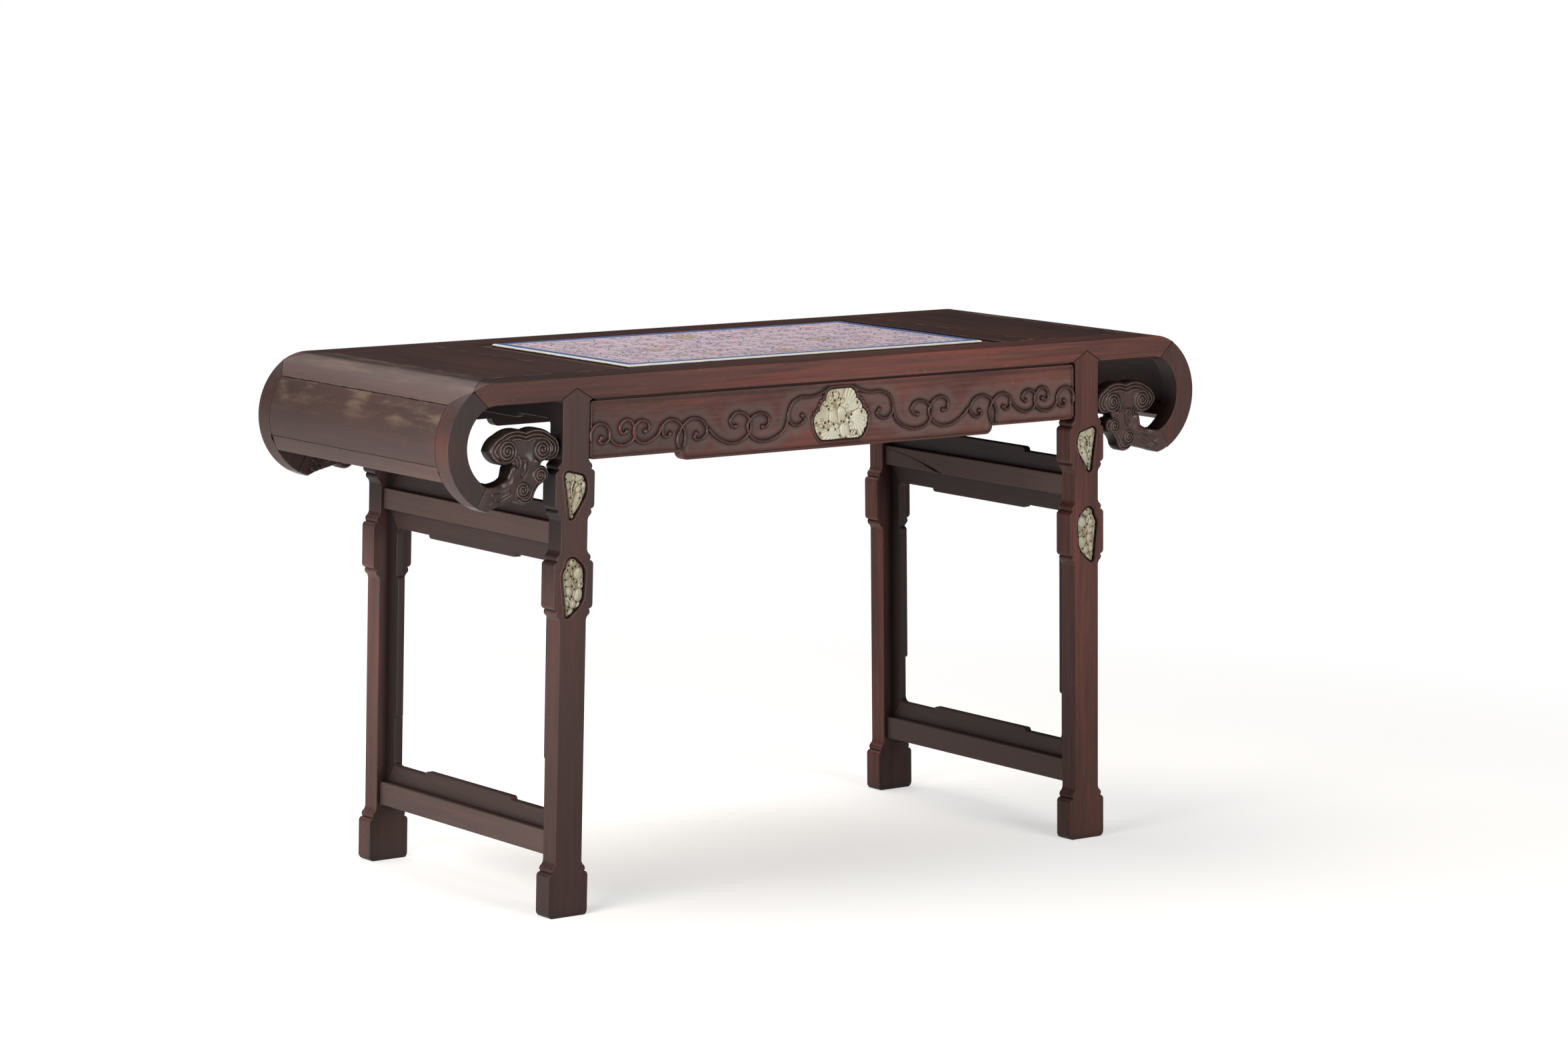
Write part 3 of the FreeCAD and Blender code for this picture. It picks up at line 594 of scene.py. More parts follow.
# %% Node trees for beads and knobs
def node_group(name, inputs, output):
    """A tree with inputs named under their kinds of socket, a wire in it, and a way to take an input."""
    tree = bpy.data.node_groups.new(name, "GeometryNodeTree")
    for kind, names in inputs.items():
        for each in names:
            tree.interface.new_socket(each, in_out="INPUT", socket_type="NodeSocket" + kind)
    tree.interface.new_socket(output, in_out="OUTPUT", socket_type="NodeSocketGeometry")
    given = tree.nodes.new("NodeGroupInput")

    def take(each):
        return Wire(tree, given.outputs[each])

    return tree, Wire(tree), take


def ball(wire, segments, rings, radius):
    return wire.node("GeometryNodeMeshUVSphere", {}, {"Segments": segments, "Rings": rings, "Radius": radius})


def path_points(wire, take):
    return wire.node("GeometryNodeResampleCurve", {"mode": "LENGTH"},
                     {"Curve": take("Path"), "Length": take("Step")})


def close_group(wire, take, made, output):
    """Realise the instances, set the finish and hand the result out."""
    real = wire.node("GeometryNodeRealizeInstances", {}, {"Geometry": made})
    smooth = wire.node("GeometryNodeSetShadeSmooth", {}, {"Geometry": real})
    done = wire.node("GeometryNodeSetMaterial", {}, {"Geometry": smooth, "Material": take("Finish")})
    wire.node("NodeGroupOutput", {}, {output: done})


def pressed(wire, take, made, radius):
    """Press rounded shapes of a radius to the asked height over the face."""
    scale = wire.join(1.0, wire.math("DIVIDE", take("Height"), radius), 1.0)
    return wire.node("GeometryNodeTransform", {}, {"Geometry": made, "Scale": scale})


def bead_tree():
    inputs = {"Geometry": ["Path"], "Float": ["Width", "Height", "Bud", "Step"], "Material": ["Finish"]}
    tree, wire, take = node_group("raised_bead", inputs, "Bead")
    path = path_points(wire, take)
    radius = take("Width") * 0.5
    ring = wire.node("GeometryNodeCurvePrimitiveCircle", {}, {"Resolution": 12, "Radius": radius})
    cord = wire.node("GeometryNodeCurveToMesh", {},
                     {"Curve": path, "Profile Curve": ring, "Fill Caps": True})
    first = wire.node("GeometryNodeCurveEndpointSelection", {}, {"Start Size": 1, "End Size": 0})
    buds = wire.node("GeometryNodeInstanceOnPoints", {},
                     {"Points": path, "Selection": first, "Instance": ball(wire, 14, 8, take("Bud"))})
    both = wire.node("GeometryNodeJoinGeometry", {}, {"Geometry": [cord, buds]})
    close_group(wire, take, pressed(wire, take, both, radius), "Bead")
    return tree


def knob_tree():
    inputs = {"Geometry": ["Path"], "Float": ["Radius", "Height", "Step"], "Material": ["Finish"]}
    tree, wire, take = node_group("knob_row", inputs, "Row")
    knob = ball(wire, 12, 7, take("Radius"))
    row = wire.node("GeometryNodeInstanceOnPoints", {},
                    {"Points": path_points(wire, take), "Instance": knob})
    close_group(wire, take, pressed(wire, take, row, take("Radius")), "Row")
    return tree


def run_tree(made, tree, values):
    """Give an object a node tree, set its inputs by identifier, and return the result as a plain mesh."""
    modifier = made.modifiers.new(tree.name, "NODES")
    modifier.node_group = tree
    for item in tree.interface.items_tree:
        if item.in_out == "INPUT" and item.name in values:
            modifier[item.identifier] = values[item.name]
    graph = bpy.context.evaluated_depsgraph_get()
    mesh = bpy.data.meshes.new_from_object(made.evaluated_get(graph))
    made.modifiers.remove(modifier)
    bpy.data.objects.remove(made)
    return mesh


def path_object(paths, closed=False):
    """A curve object through paths of (x, z) points in millimetres, in the plane y = 0."""
    curve = bpy.data.curves.new("path", "CURVE")
    curve.dimensions = "3D"
    for path in paths:
        spline = curve.splines.new("BEZIER")
        spline.bezier_points.add(len(path) - 1)
        spline.use_cyclic_u = closed
        for point, (x, z) in zip(spline.bezier_points, path):
            point.co = (x * mm, 0, z * mm)
            point.handle_left_type = point.handle_right_type = "AUTO"
    made = bpy.data.objects.new("path", curve)
    scene.collection.objects.link(made)
    return made


raised_bead = bead_tree()
knob_row = knob_tree()


def bead(paths, width, height, bud, finish, closed=False, step=1.5):
    """Beads along paths of (x, z) points in millimetres, as one mesh about the plane y = 0."""
    sizes = {"Width": width * mm, "Height": height * mm, "Bud": bud * mm, "Step": step * mm, "Finish": finish}
    return run_tree(path_object(paths, closed), raised_bead, sizes)


def knobs(path, radius, height, step, finish):
    sizes = {"Radius": radius * mm, "Height": height * mm, "Step": step * mm, "Finish": finish}
    return run_tree(path_object([path]), knob_row, sizes)


def add_raised(name, mesh, y, tone, number):
    """Move beads from the plane y = 0 to a face, and add them as a piece of wood."""
    mesh.transform(Matrix.Translation((0, y * mm, 0)))
    set_numbers(mesh, piece=number, tone=tone)
    add_piece(name, mesh)


print("bead tree:", len(raised_bead.nodes), "nodes, knob tree:", len(knob_row.nodes))

# %% [markdown]
# ## Carving a slab
# The aprons, cloud heads and jades are flat solids in the frame, and their carving is a height over the face.
# The outline is read from the solid, filled with an even net of points, and each point is moved in or out by
# a height formula. A net like this takes any relief, keeps the outline crisp and leaves no holes.

# %% Outline of a face
face_flatness = 0.01 * mm


def face_outline(node, side=-1):
    """Outer edge of a node's flat front (side -1) or back (side 1), as (x, z) in millimetres."""
    work = merged_copy(node)
    y = (min if side < 0 else max)(v.co.y for v in work.verts)
    flat = [f for f in work.faces if all(abs(v.co.y - y) < face_flatness for v in f.verts)]
    in_face = set(flat)
    links = {}
    for f in flat:
        for e in f.edges:
            if sum(g in in_face for g in e.link_faces) == 1:
                a, b = e.verts
                links.setdefault(a, []).append(b)
                links.setdefault(b, []).append(a)
    loops = []
    while links:
        here = next(iter(links))
        loop = []
        while here in links:
            ahead = links.pop(here)
            loop.append((here.co.x / mm, here.co.z / mm))
            here = next((v for v in ahead if v in links), None)
        loops.append(np.array(loop))
    work.free()
    return max(loops, key=lambda points: np.ptp(points[:, 0]))


def spread(loop, step):
    """The same closed outline with points about a step apart, counter-clockwise."""
    parts = []
    for a, b in zip(loop, np.roll(loop, -1, axis=0)):
        count = max(1, int(round(np.hypot(*(b - a)) / step)))
        parts += [a + (b - a) * i / count for i in range(count)]
    points = np.array(parts)
    ahead = np.roll(points, -1, axis=0)
    turn = np.sum(points[:, 0] * ahead[:, 1] - ahead[:, 0] * points[:, 1])
    return points if turn > 0 else points[::-1]


def grown(loop, by):
    """A closed outline moved outwards (or inwards when by is negative)."""
    run = np.roll(loop, -1, axis=0) - np.roll(loop, 1, axis=0)
    run = run / np.maximum(np.hypot(run[:, 0], run[:, 1]), 1e-9)[:, None]
    return loop + by * np.column_stack([run[:, 1], -run[:, 0]])


print("apron outline:", len(face_outline("front_apron")), "points")

# %% Net of points inside an outline
edge_room = 0.55
batch = 4000


def inside(points, loop):
    """Which points lie inside a closed outline."""
    x, z = points[:, 0], points[:, 1]
    hits = np.zeros(len(points), int)
    for (ax, az), (bx, bz) in zip(loop, np.roll(loop, -1, axis=0)):
        crosses = (az > z) != (bz > z)
        if abs(bz - az) > 1e-9:
            hits += crosses & (x < ax + (bx - ax) * (z - az) / (bz - az))
    return hits % 2 == 1


def nearest(points, loop):
    """Distance to the outline, and which outline point is nearest."""
    far = np.empty(len(points))
    which = np.empty(len(points), int)
    for start in range(0, len(points), batch):
        part = points[start:start + batch]
        gap = np.hypot(part[:, None, 0] - loop[None, :, 0], part[:, None, 1] - loop[None, :, 1])
        which[start:start + batch] = gap.argmin(1)
        far[start:start + batch] = gap.min(1)
    return far, which


def net(loop, step, holes):
    """Points and triangles that fill an outline evenly; hole outlines become edges of the net."""
    low, high = loop.min(0), loop.max(0)
    rise = step * math.sqrt(0.75)
    rows = []
    for j in range(int((high[1] - low[1]) / rise) + 1):
        x = np.arange(low[0] + (j % 2) * step / 2, high[0], step)
        rows.append(np.column_stack([x, np.full(len(x), low[1] + j * rise)]))
    grid = np.concatenate(rows)
    grid = grid[inside(grid, loop)]
    for edge in (loop, *holes):
        grid = grid[nearest(grid, edge)[0] > step * edge_room]
    points = np.concatenate([loop, *holes, grid])
    edges = []
    start = len(loop)
    for hole in holes:
        edges += [(start + i, start + (i + 1) % len(hole)) for i in range(len(hole))]
        start += len(hole)
    made = delaunay_2d_cdt([Vector(p) for p in points], edges, [list(range(len(loop)))], 1, 1e-5)
    return np.array([tuple(v) for v in made[0]]), np.array(made[2])


print("coarse net on the apron:", len(net(spread(face_outline("front_apron"), 20), 20, ())[1]), "triangles")

# %% Carved slab
crisp_turn = math.radians(50)


def open_edges(faces, shift):
    """Quads from the open edge of a set of triangles to the same points further on in the list."""
    seen = {}
    for a, b, c in faces.tolist():
        for pair in ((a, b), (b, c), (c, a)):
            seen[pair] = True
    return [[a, a + shift, b + shift, b] for a, b in seen if (b, a) not in seen]


def carved_slab(node, step, relief, side=-1, both=False, hole=None, hole_depth=0.0):
    """Slab in place of a node; relief(points, gap, near) gives height in mm, hollow and wear."""
    low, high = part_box(node)
    face_y, rear_y = (low.y / mm, high.y / mm) if side < 0 else (high.y / mm, low.y / mm)
    loop = spread(face_outline(node, side), step)
    points, faces = net(loop, step, () if hole is None else (hole,))
    gap, which = nearest(points, loop)
    height, hollow, wear = relief(points, gap, loop[which])
    count = len(points)
    share = 1.0 if both else 0.0
    front = np.column_stack([points[:, 0], face_y + side * height, points[:, 1]])
    rear = np.column_stack([points[:, 0], rear_y - side * share * height, points[:, 1]])
    corners = np.concatenate([front, rear])
    hollows = np.concatenate([hollow, share * hollow])
    wears = np.concatenate([wear, share * wear])
    rear_faces = faces[:, ::-1] + count
    front_faces = faces
    walls = open_edges(faces, count)
    if hole is not None:
        sunk = inside(points[faces].mean(1), hole)
        deep = front.copy()
        deep[:, 1] = face_y - side * hole_depth
        corners = np.concatenate([corners, deep])
        # The sunk bed is painted fully dark, as shade
        hollows = np.concatenate([hollows, np.ones(count)])
        wears = np.concatenate([wears, np.zeros(count)])
        front_faces = np.where(sunk[:, None], faces + 2 * count, faces)
        walls += open_edges(faces[sunk], 2 * count)
    work = bmesh.new()
    layers = [work.verts.layers.float.new(name) for name in ("hollow", "worn")]
    verts = [work.verts.new(tuple(c * mm)) for c in corners]
    for layer, values in zip(layers, (hollows, wears)):
        for v, value in zip(verts, values.tolist()):
            v[layer] = value
    for ring in [*front_faces.tolist(), *rear_faces.tolist(), *walls]:
        work.faces.new([verts[i] for i in ring])
    bmesh.ops.delete(work, geom=[v for v in work.verts if not v.link_faces], context="VERTS")
    bmesh.ops.recalc_face_normals(work, faces=work.faces)
    mesh = made_mesh(work, node + "_carved")
    mesh.shade_smooth()
    mesh.set_sharp_from_angle(angle=crisp_turn)
    return mesh


def add_carved(node, mesh, finish, slot="hardwood", **numbers):
    set_numbers(mesh, **numbers)
    mesh.materials.append(finish)
    add_piece("carved_" + node, mesh, node)
    print(node, len(mesh.polygons), "faces")


def swell(points, x, z, radius):
    return np.exp(-((points[:, 0] - x) ** 2 + (points[:, 1] - z) ** 2) / (2 * radius ** 2))


def along(points, path, step=0.8):
    """Distance in mm to a polyline."""
    path = np.array(path, float)
    dense = np.concatenate([a + (b - a) * np.linspace(0, 1, max(2, int(np.hypot(*(b - a)) / step)))[:, None]
                            for a, b in zip(path[:-1], path[1:])])
    return nearest(points, dense)[0]


def hump(share):
    """1 where the share is 0, falling as a bell."""
    return np.exp(-share ** 2)


def ramp(share):
    return np.clip(share, 0, 1)


print("walls round one triangle:", len(open_edges(np.array([[0, 1, 2]]), 3)))

# %% [markdown]
# ## Cloud heads
# Each roll ends in a carved cloud: two large volutes under a triple-lined brow, two small ones below, and a
# stem that swells out of the C frame. The volutes are spirals, so their ridges follow one formula, radius
# plus turn. The brow's lines run at even distances from the outline, and the body between them is a soft
# pillow.

# %% Cloud head relief
# Volutes as (x, z) from the roll's centre, radius, spacing of the turns, and which way they wind
volutes = [(-5.5, -7.7, 17.8, 5.6, -1), (-69.0, -8.2, 17.8, 5.6, 1),
           (-65.0, -48.2, 13.2, 4.8, -1), (-33.5, -68.7, 13.2, 4.8, 1)]
# Swellings of the body as (x, z), radius and height
cloud_swells = [(-13, -35, 8, 5.4), (-50, -26, 7, 2.6), (-12, -57, 9, 3.6), (-59, -28, 3.2, 2.4)]
# Bands of lines: where the brow and the lip end, and the width and spacing of their lines
brow_low = -28.5
brow_width, brow_pitch = 16.8, 5.6
lip_right, lip_top = -24.0, -33.0
lip_width, lip_pitch = 9.6, 4.8
end_fade, side_fade = 5, 1.6
# Height of a band at its outer edge, how it changes inwards, and how deep its lines are
brow_level, brow_slope, brow_depth = -1.4, 0.16, 2.7
lip_level, lip_slope, lip_depth = -1.6, 0.12, 2.1
# The same for a volute from its middle, its depth as a share of the spacing, and its fade
volute_level, volute_slope, volute_depth, volute_fade = 2.4, -0.12, 0.42, 1.4
body_low, body_rise, body_round = -6.5, 5.0, 14.0
# Beside the stem's joint the head is flush with the frame, and free of lines
flush, flush_reach, flush_fade = 2.9, 24, 30
lines_from, lines_fade = 13, 12
most_proud = 1.9
cloud_edge, edge_joint = 2.6, 4
stem_joint = [(34.3, -59.4), (52.0, -90.1)]
curl_path = [(-33.0, -29.0), (-30.5, -26.0), (-33.0, -22.5), (-37.5, -23.0), (-40.0, -29.0), (-39.0, -37.0),
             (-34.0, -45.0)]
stem_leaves = [
    [(22.0, -74.0), (8.0, -73.0), (-7.0, -67.5)], [(16.0, -79.5), (4.0, -77.5), (-9.0, -71.5)],
    [(25.0, -88.0), (17.0, -84.0), (10.5, -86.0), (13.0, -90.5), (19.0, -89.5)],
]
# Raised lines on the body: path, width and how bold
cloud_lines = [(curl_path, 2.4, 1.0)] + [(path, 3.2, 0.6) for path in stem_leaves]
usual_wear = 0.3


def ridge(share):
    """0 to 1 across one line of a cloud: a slow rise to a thin crest, then a steep fall."""
    part = share % 1.0
    return np.minimum(part / 0.76, (1 - part) / 0.24)


def cover(room, fade):
    """1 where there is room, 0 where there is none, eased over the fade."""
    share = ramp(room / fade + 0.5)
    return share * share * (3 - 2 * share)


def cloud_relief(points, gap, near):
    """Height, hollow and wear over a cloud head; points run from the roll's centre, stem to the right."""
    from_joint = along(points, stem_joint)
    height = body_low + body_rise * np.sqrt(1 - (1 - ramp(gap / body_round)) ** 2)
    for x, z, radius, rise in cloud_swells:
        height += rise * swell(points, x, z, radius)
    # Painted shade near the outline, and a painted highlight where the largest swell is left lighter
    hollow = 0.4 * ramp(1 - gap / 7) + 0.1 - 0.3 * swell(points, -14, -36, 9)
    wear = np.full(len(points), usual_wear)
    level = cover(flush_reach - from_joint, flush_fade)
    height = height * (1 - level) + flush * level
    hollow *= 1 - 0.8 * level
    free = cover(from_joint - lines_from, lines_fade)
    for path, width, bold in cloud_lines:
        far = along(points, path)
        groove = hump((far - width - 1) / 1.4)
        height += free * bold * (1.2 * ramp(1 - (far / width) ** 2) - 1.1 * groove)
        hollow += free * bold * 0.5 * groove

    def lay(share, line, top, depth):
        """Lay lined bands over the body, with painted shade in grooves and a painted highlight on crests."""
        height[:] += share * (top - depth + depth * line - height)
        hollow[:] += share * (ramp(1.0 - 1.6 * line) - hollow)
        wear[:] += share * (usual_wear + 0.7 * ramp(line * 2.2 - 1.1) - wear)

    brow = cover(near[:, 1] - brow_low, end_fade) * cover(brow_width - gap, side_fade)
    lay(brow, ridge(gap / brow_pitch), brow_level + brow_slope * gap, brow_depth)
    lip = cover(lip_right - near[:, 0], end_fade) * cover(lip_top - near[:, 1], end_fade)
    lip = lip * cover(lip_width - gap, side_fade)
    lay(lip, ridge(gap / lip_pitch), lip_level + lip_slope * gap, lip_depth)
    for x, z, radius, pitch, way in volutes:
        out = np.hypot(points[:, 0] - x, points[:, 1] - z)
        turn = np.arctan2(points[:, 1] - z, points[:, 0] - x) / (2 * math.pi)
        lay(cover(radius - out, volute_fade), ridge(-out / pitch - way * turn),
            volute_level + volute_slope * out, volute_depth * pitch)
    rounded = ramp(along(near, stem_joint) / edge_joint)
    height -= cloud_edge * rounded * (1 - ramp(gap / cloud_edge)) ** 2
    return np.minimum(height, flush + most_proud * (1 - level)), ramp(hollow), wear


roll_x = 639.0
roll_z = 741.2


def cloud_at(sign):
    """The relief of a cloud head at the right (sign 1) or left (sign -1) roll."""
    centre = np.array([sign * roll_x, roll_z])
    flip = np.array([sign, 1.0])

    def relief(points, gap, near):
        return cloud_relief((points - centre) * flip, gap, (near - centre) * flip)

    return relief


print("volutes:", len(volutes))

# %% Four cloud heads
cloud_steps = {"front": 0.64, "back": 0.9}
cloud_tones = {"left": 0.38, "right": 0.72}
# The sides of the cloud heads are painted darker, as shade
cloud_side_shade = -0.9
cloud_ends = [(depth, end, sign) for end, sign in (("right", 1), ("left", -1)) for depth in cloud_steps]
for number, (depth, end, sign) in enumerate(cloud_ends):
    node = depth + "_" + end + "_terminal"
    mesh = carved_slab(node, cloud_steps[depth], cloud_at(sign), both=True)
    add_carved(node, mesh, polished_wood, piece=number + 0.3, tone=cloud_tones[end], side=cloud_side_shade)

# %% [markdown]
# ## Aprons with creeping tendrils
# The long aprons carry tendrils that loop and end in buds. A carver would sink the ground and leave the stems
# proud. Here the ground is a carved slab, a little lower beside the stems, dustier and darker there with dirt
# and painted shade, and the stems are beads laid on it. The back apron isn't seen, so it repeats the front
# without the jade.

# %% Tendrils and the relief of an apron
# Left half of the apron, as (x, z) in millimetres; each stem starts at its bud
tendrils = [
    [(-77, 753), (-72, 748), (-75, 743), (-88, 738), (-100, 743), (-105, 753), (-103, 763), (-97, 774),
     (-80, 782), (-58, 782), (-40, 786), (-25, 793)],
    [(-155, 740), (-147, 742), (-142, 750), (-147, 758), (-160, 762), (-175, 757), (-184, 747), (-183, 735),
     (-175, 724), (-160, 718), (-143, 718), (-127, 723), (-113, 733), (-107, 745), (-103, 760)],
    [(-207, 744), (-214, 745), (-218, 752), (-214, 761), (-202, 766), (-188, 761), (-179, 750), (-179, 737),
     (-188, 726), (-203, 719), (-220, 719), (-237, 725), (-250, 734), (-260, 744)],
    [(-283, 738), (-287, 733), (-280, 728), (-270, 731), (-263, 740), (-267, 752), (-277, 760), (-292, 762),
     (-305, 756), (-315, 744), (-319, 730), (-317, 719)],
    [(-380, 748), (-373, 752), (-375, 760), (-385, 765), (-397, 761), (-402, 748), (-397, 736), (-383, 730),
     (-367, 734), (-355, 743), (-347, 756), (-333, 763), (-320, 760), (-308, 748), (-304, 733), (-308, 719)],
    [(-333, 741), (-337, 737), (-344, 738), (-348, 747), (-347, 756)],
    [(-415, 750), (-423, 747), (-428, 754), (-424, 764), (-413, 768), (-403, 761), (-399, 748), (-403, 737),
     (-415, 730), (-430, 730), (-442, 736), (-446, 743)],
    [(-462, 743), (-466, 739), (-459, 734), (-450, 738), (-447, 750), (-453, 761), (-465, 765), (-475, 762),
     (-482, 752), (-482, 740)],
]
vines = tendrils + [[(-x, z) for x, z in path] for path in tendrils]
apron_face = 276.5
apron_top = 799.0
apron_edge = 1.5
# Beside the stems: how deep the ground is, how dark with dirt and painted shade, and how dusty and how far
vine_sink, vine_dirt_and_shade, vine_dust, dust_reach = 0.7, 0.68, 0.68, 18
# Dirt and painted shade along the apron's outline, and how far in it lies
edge_dirt_and_shade, edge_dirt_and_shade_at = 0.45, 5.5


def apron_relief(points, gap, near):
    x, z = points[:, 0], points[:, 1]
    vine = np.min([along(points, path, 2.5) for path in vines], axis=0)
    height = 0.10 * np.sin(0.21 * x + 0.13 * z) + 0.08 * np.sin(0.083 * x - 0.37 * z)
    height -= vine_sink * hump((vine - 3.2) / 3) + apron_edge * (1 - ramp(gap / apron_edge)) ** 2
    hollow = vine_dirt_and_shade * hump((vine - 2.9) / 2.8) + edge_dirt_and_shade * hump((gap - edge_dirt_and_shade_at) / 3)
    dusty = vine_dust * ramp(1.2 - vine / dust_reach)
    return height, ramp(hollow), dusty


def edge_path(node, inset, top):
    """The apron's side and lower edge, moved in, from one top corner to the other."""
    loop = grown(spread(face_outline(node), 3.0), -inset)
    low = loop[:, 1] < top
    start = next(i for i in range(len(loop)) if low[i] and not low[i - 1])
    loop = np.roll(loop, -start, axis=0)
    return loop[loop[:, 1] < top]


def with_tongue(mesh, node):
    """The carved slab together with the solid's tongue, which closes the gap under the rail."""
    work = merged_copy(node)
    everything = [*work.verts, *work.edges, *work.faces]
    cut = bmesh.ops.bisect_plane(work, geom=everything, plane_co=(0, 0, apron_top * mm), plane_no=(0, 0, -1),
                                 clear_outer=True)
    bmesh.ops.holes_fill(work, edges=[e for e in cut["geom_cut"] if isinstance(e, bmesh.types.BMEdge)])
    work.from_mesh(mesh)
    work.to_mesh(mesh)
    work.free()
    return mesh


print("tendrils:", len(vines))

# %% Aprons with their beads
apron_step = 2.3
apron_lean = 0.6
tendril_tone, rim_tone, ring_tone, knob_tone = 0.7, 0.9, 0.8, 0.75
tendril_width, tendril_height, tendril_bud = 5.2, 3.4, 4.2
rim_width, rim_height, rim_inset, rim_top = 3.0, 1.5, 3.4, 797
ring_width, ring_height, ring_out = 4.6, 2.6, 3.0
knob_radius, knob_height, knob_pitch, knob_out = 3.7, 4.0, 7.0, 3.4
knobs_low, knobs_high = 748, 788
blunt = 0.5
bed_slip, bed_depth = 0.4, 5.0
jade_loop = spread(face_outline("apron_jade"), 1.5)
# Side of the table, node, number of its pattern, tone, and bed for a jade; the back's low tone is painted
# shade
for side, node, number, tone, bed in ((-1, "front_apron", 3.1, 1.3, grown(jade_loop, bed_slip)),
                                      (1, "back_apron", 4.7, 0.32, None)):
    slab = carved_slab(node, apron_step, apron_relief, side=side, hole=bed, hole_depth=bed_depth)
    add_carved(node, with_tongue(slab, node), hardwoods["x"], piece=number, tone=tone, lean=apron_lean)
    stems = bead(vines, tendril_width, tendril_height, tendril_bud, polished_wood)
    add_raised(node + "_tendrils", stems, side * apron_face, tendril_tone, number)
    edge = edge_path(node, rim_inset, rim_top)
    rim = bead([edge], rim_width, rim_height, blunt, hardwoods["x"], step=2.5)
    add_raised(node + "_edge_bead", rim, side * apron_face, rim_tone, number)
frame_loop = grown(spread(jade_loop, 4.0), ring_out)
ring = bead([frame_loop], ring_width, ring_height, blunt, polished_wood, closed=True, step=2.0)
add_raised("jade_frame_bead", ring, -apron_face, ring_tone, 3.3)
slope = [p for p in grown(spread(jade_loop, 2.0), knob_out) if knobs_low < p[1] < knobs_high]
for name, sign in (("left", -1), ("right", 1)):
    path = sorted((p for p in slope if p[0] * sign > 0), key=lambda p: p[1])
    row = knobs(path, knob_radius, knob_height, knob_pitch, polished_wood)
    add_raised("jade_frame_knobs_" + name, row, -apron_face, knob_tone, 3.4)

# %% [markdown]
# ## Jade carvings
# The jades are pale nephrite plaques, carved with fan-shaped leaves, smooth buds and seed pods, and pierced
# between them. Each motif is a small height formula, and the highest wins, as if they overlapped. The hollow
# left between them holds old brown dirt and is painted darker with depth as shade, and the drilled holes are
# painted black as shade. The stone has an ochre skin in places, which the carver left and which the finish
# reads as wear.

# %% Jade finish
jade_grey, jade_white, jade_ochre = colour(194, 188, 162), colour(220, 216, 196), colour(168, 140, 94)
jade_fleck, jade_stain_and_shade = colour(150, 140, 112), colour(150, 128, 90)
jade_dirt_and_shade, jade_black = colour(78, 58, 38), colour(26, 19, 15)


def jade_finish():
    material, wire = new_finish("carved_jade")
    place = wire.place()
    hollow, aged, tone = map(wire.number, ("hollow", "worn", "tone"))
    cloud = wire.noise(place, 34.0, 4.0, 0.55)
    stain = wire.noise(place, 21.0, 5.0, 0.65).between(0.54, 0.72)
    fleck = wire.noise(place, 420.0, 2.0).between(0.60, 0.70)
    # Over the stone: stain, dirt and painted shade in the hollows, and painted black in the deepest
    stone = wire.layers(jade_grey, [
        (cloud.between(0.32, 0.68), jade_white), (stain * 0.45 + aged * 0.45, jade_ochre),
        (fleck * 0.18, jade_fleck), (hollow.between(0.08, 0.50) * 0.75, jade_stain_and_shade),
        (hollow.between(0.45, 0.85) * 0.6, jade_dirt_and_shade), (hollow.between(0.82, 0.95), jade_black)])
    close_finish(wire, Base_Color=wire.dimmed(stone, tone), Roughness=0.34 + cloud * 0.1 + hollow * 0.3,
                 Normal=wire.bump(cloud + fleck * 0.3, 0.3 * mm), Specular_IOR_Level=0.45)
    return material


jade = jade_finish()
print("jade finish:", len(jade.node_tree.nodes), "nodes")

# %% Motifs as heights
nowhere = -99.0
jade_floor, jade_top = -3.4, -0.05
ground_rise, ground_ripple, ground_hollow = 0.8, 0.5, 0.58
leaf_rise, stem_rise = 2.4, 2.2
crevice_width, crevice_depth, crevice_dirt_and_shade = 0.45, 0.8, 0.84
drill_depth, drill_blur = 5.0, 0.7
jade_edge, jade_edge_depth, jade_edge_dirt_and_shade = 1.6, 1.0, 0.7
gap_out, gap_height, gap_bud, gap_step = 0.3, 0.5, 0.3, 1.2
gap_tone, gap_number = 1.0, 0.5


def dome(points, x, z, wide, tall, turn, crease, rise):
    """A bud: half an ellipsoid, with grooves along it where it has a crease; height and fine lines."""
    c, s = math.cos(turn), math.sin(turn)
    u = ((points[:, 0] - x) * c + (points[:, 1] - z) * s) / wide
    v = ((points[:, 1] - z) * c - (points[:, 0] - x) * s) / tall
    left = 1 - u * u - v * v
    vein = hump((u - 0.25 * v * v) * wide / 0.45) + hump((u + 0.4 - 0.2 * v * v) * wide / 0.4)
    vein = np.minimum(vein, 1) * (crease > 0)
    height = jade_floor + rise * np.sqrt(ramp(left)) - crease * vein
    return np.where(left > 0, height, nowhere), np.maximum(0.45 * vein, 0.75 * ramp(1 - left / 0.22))


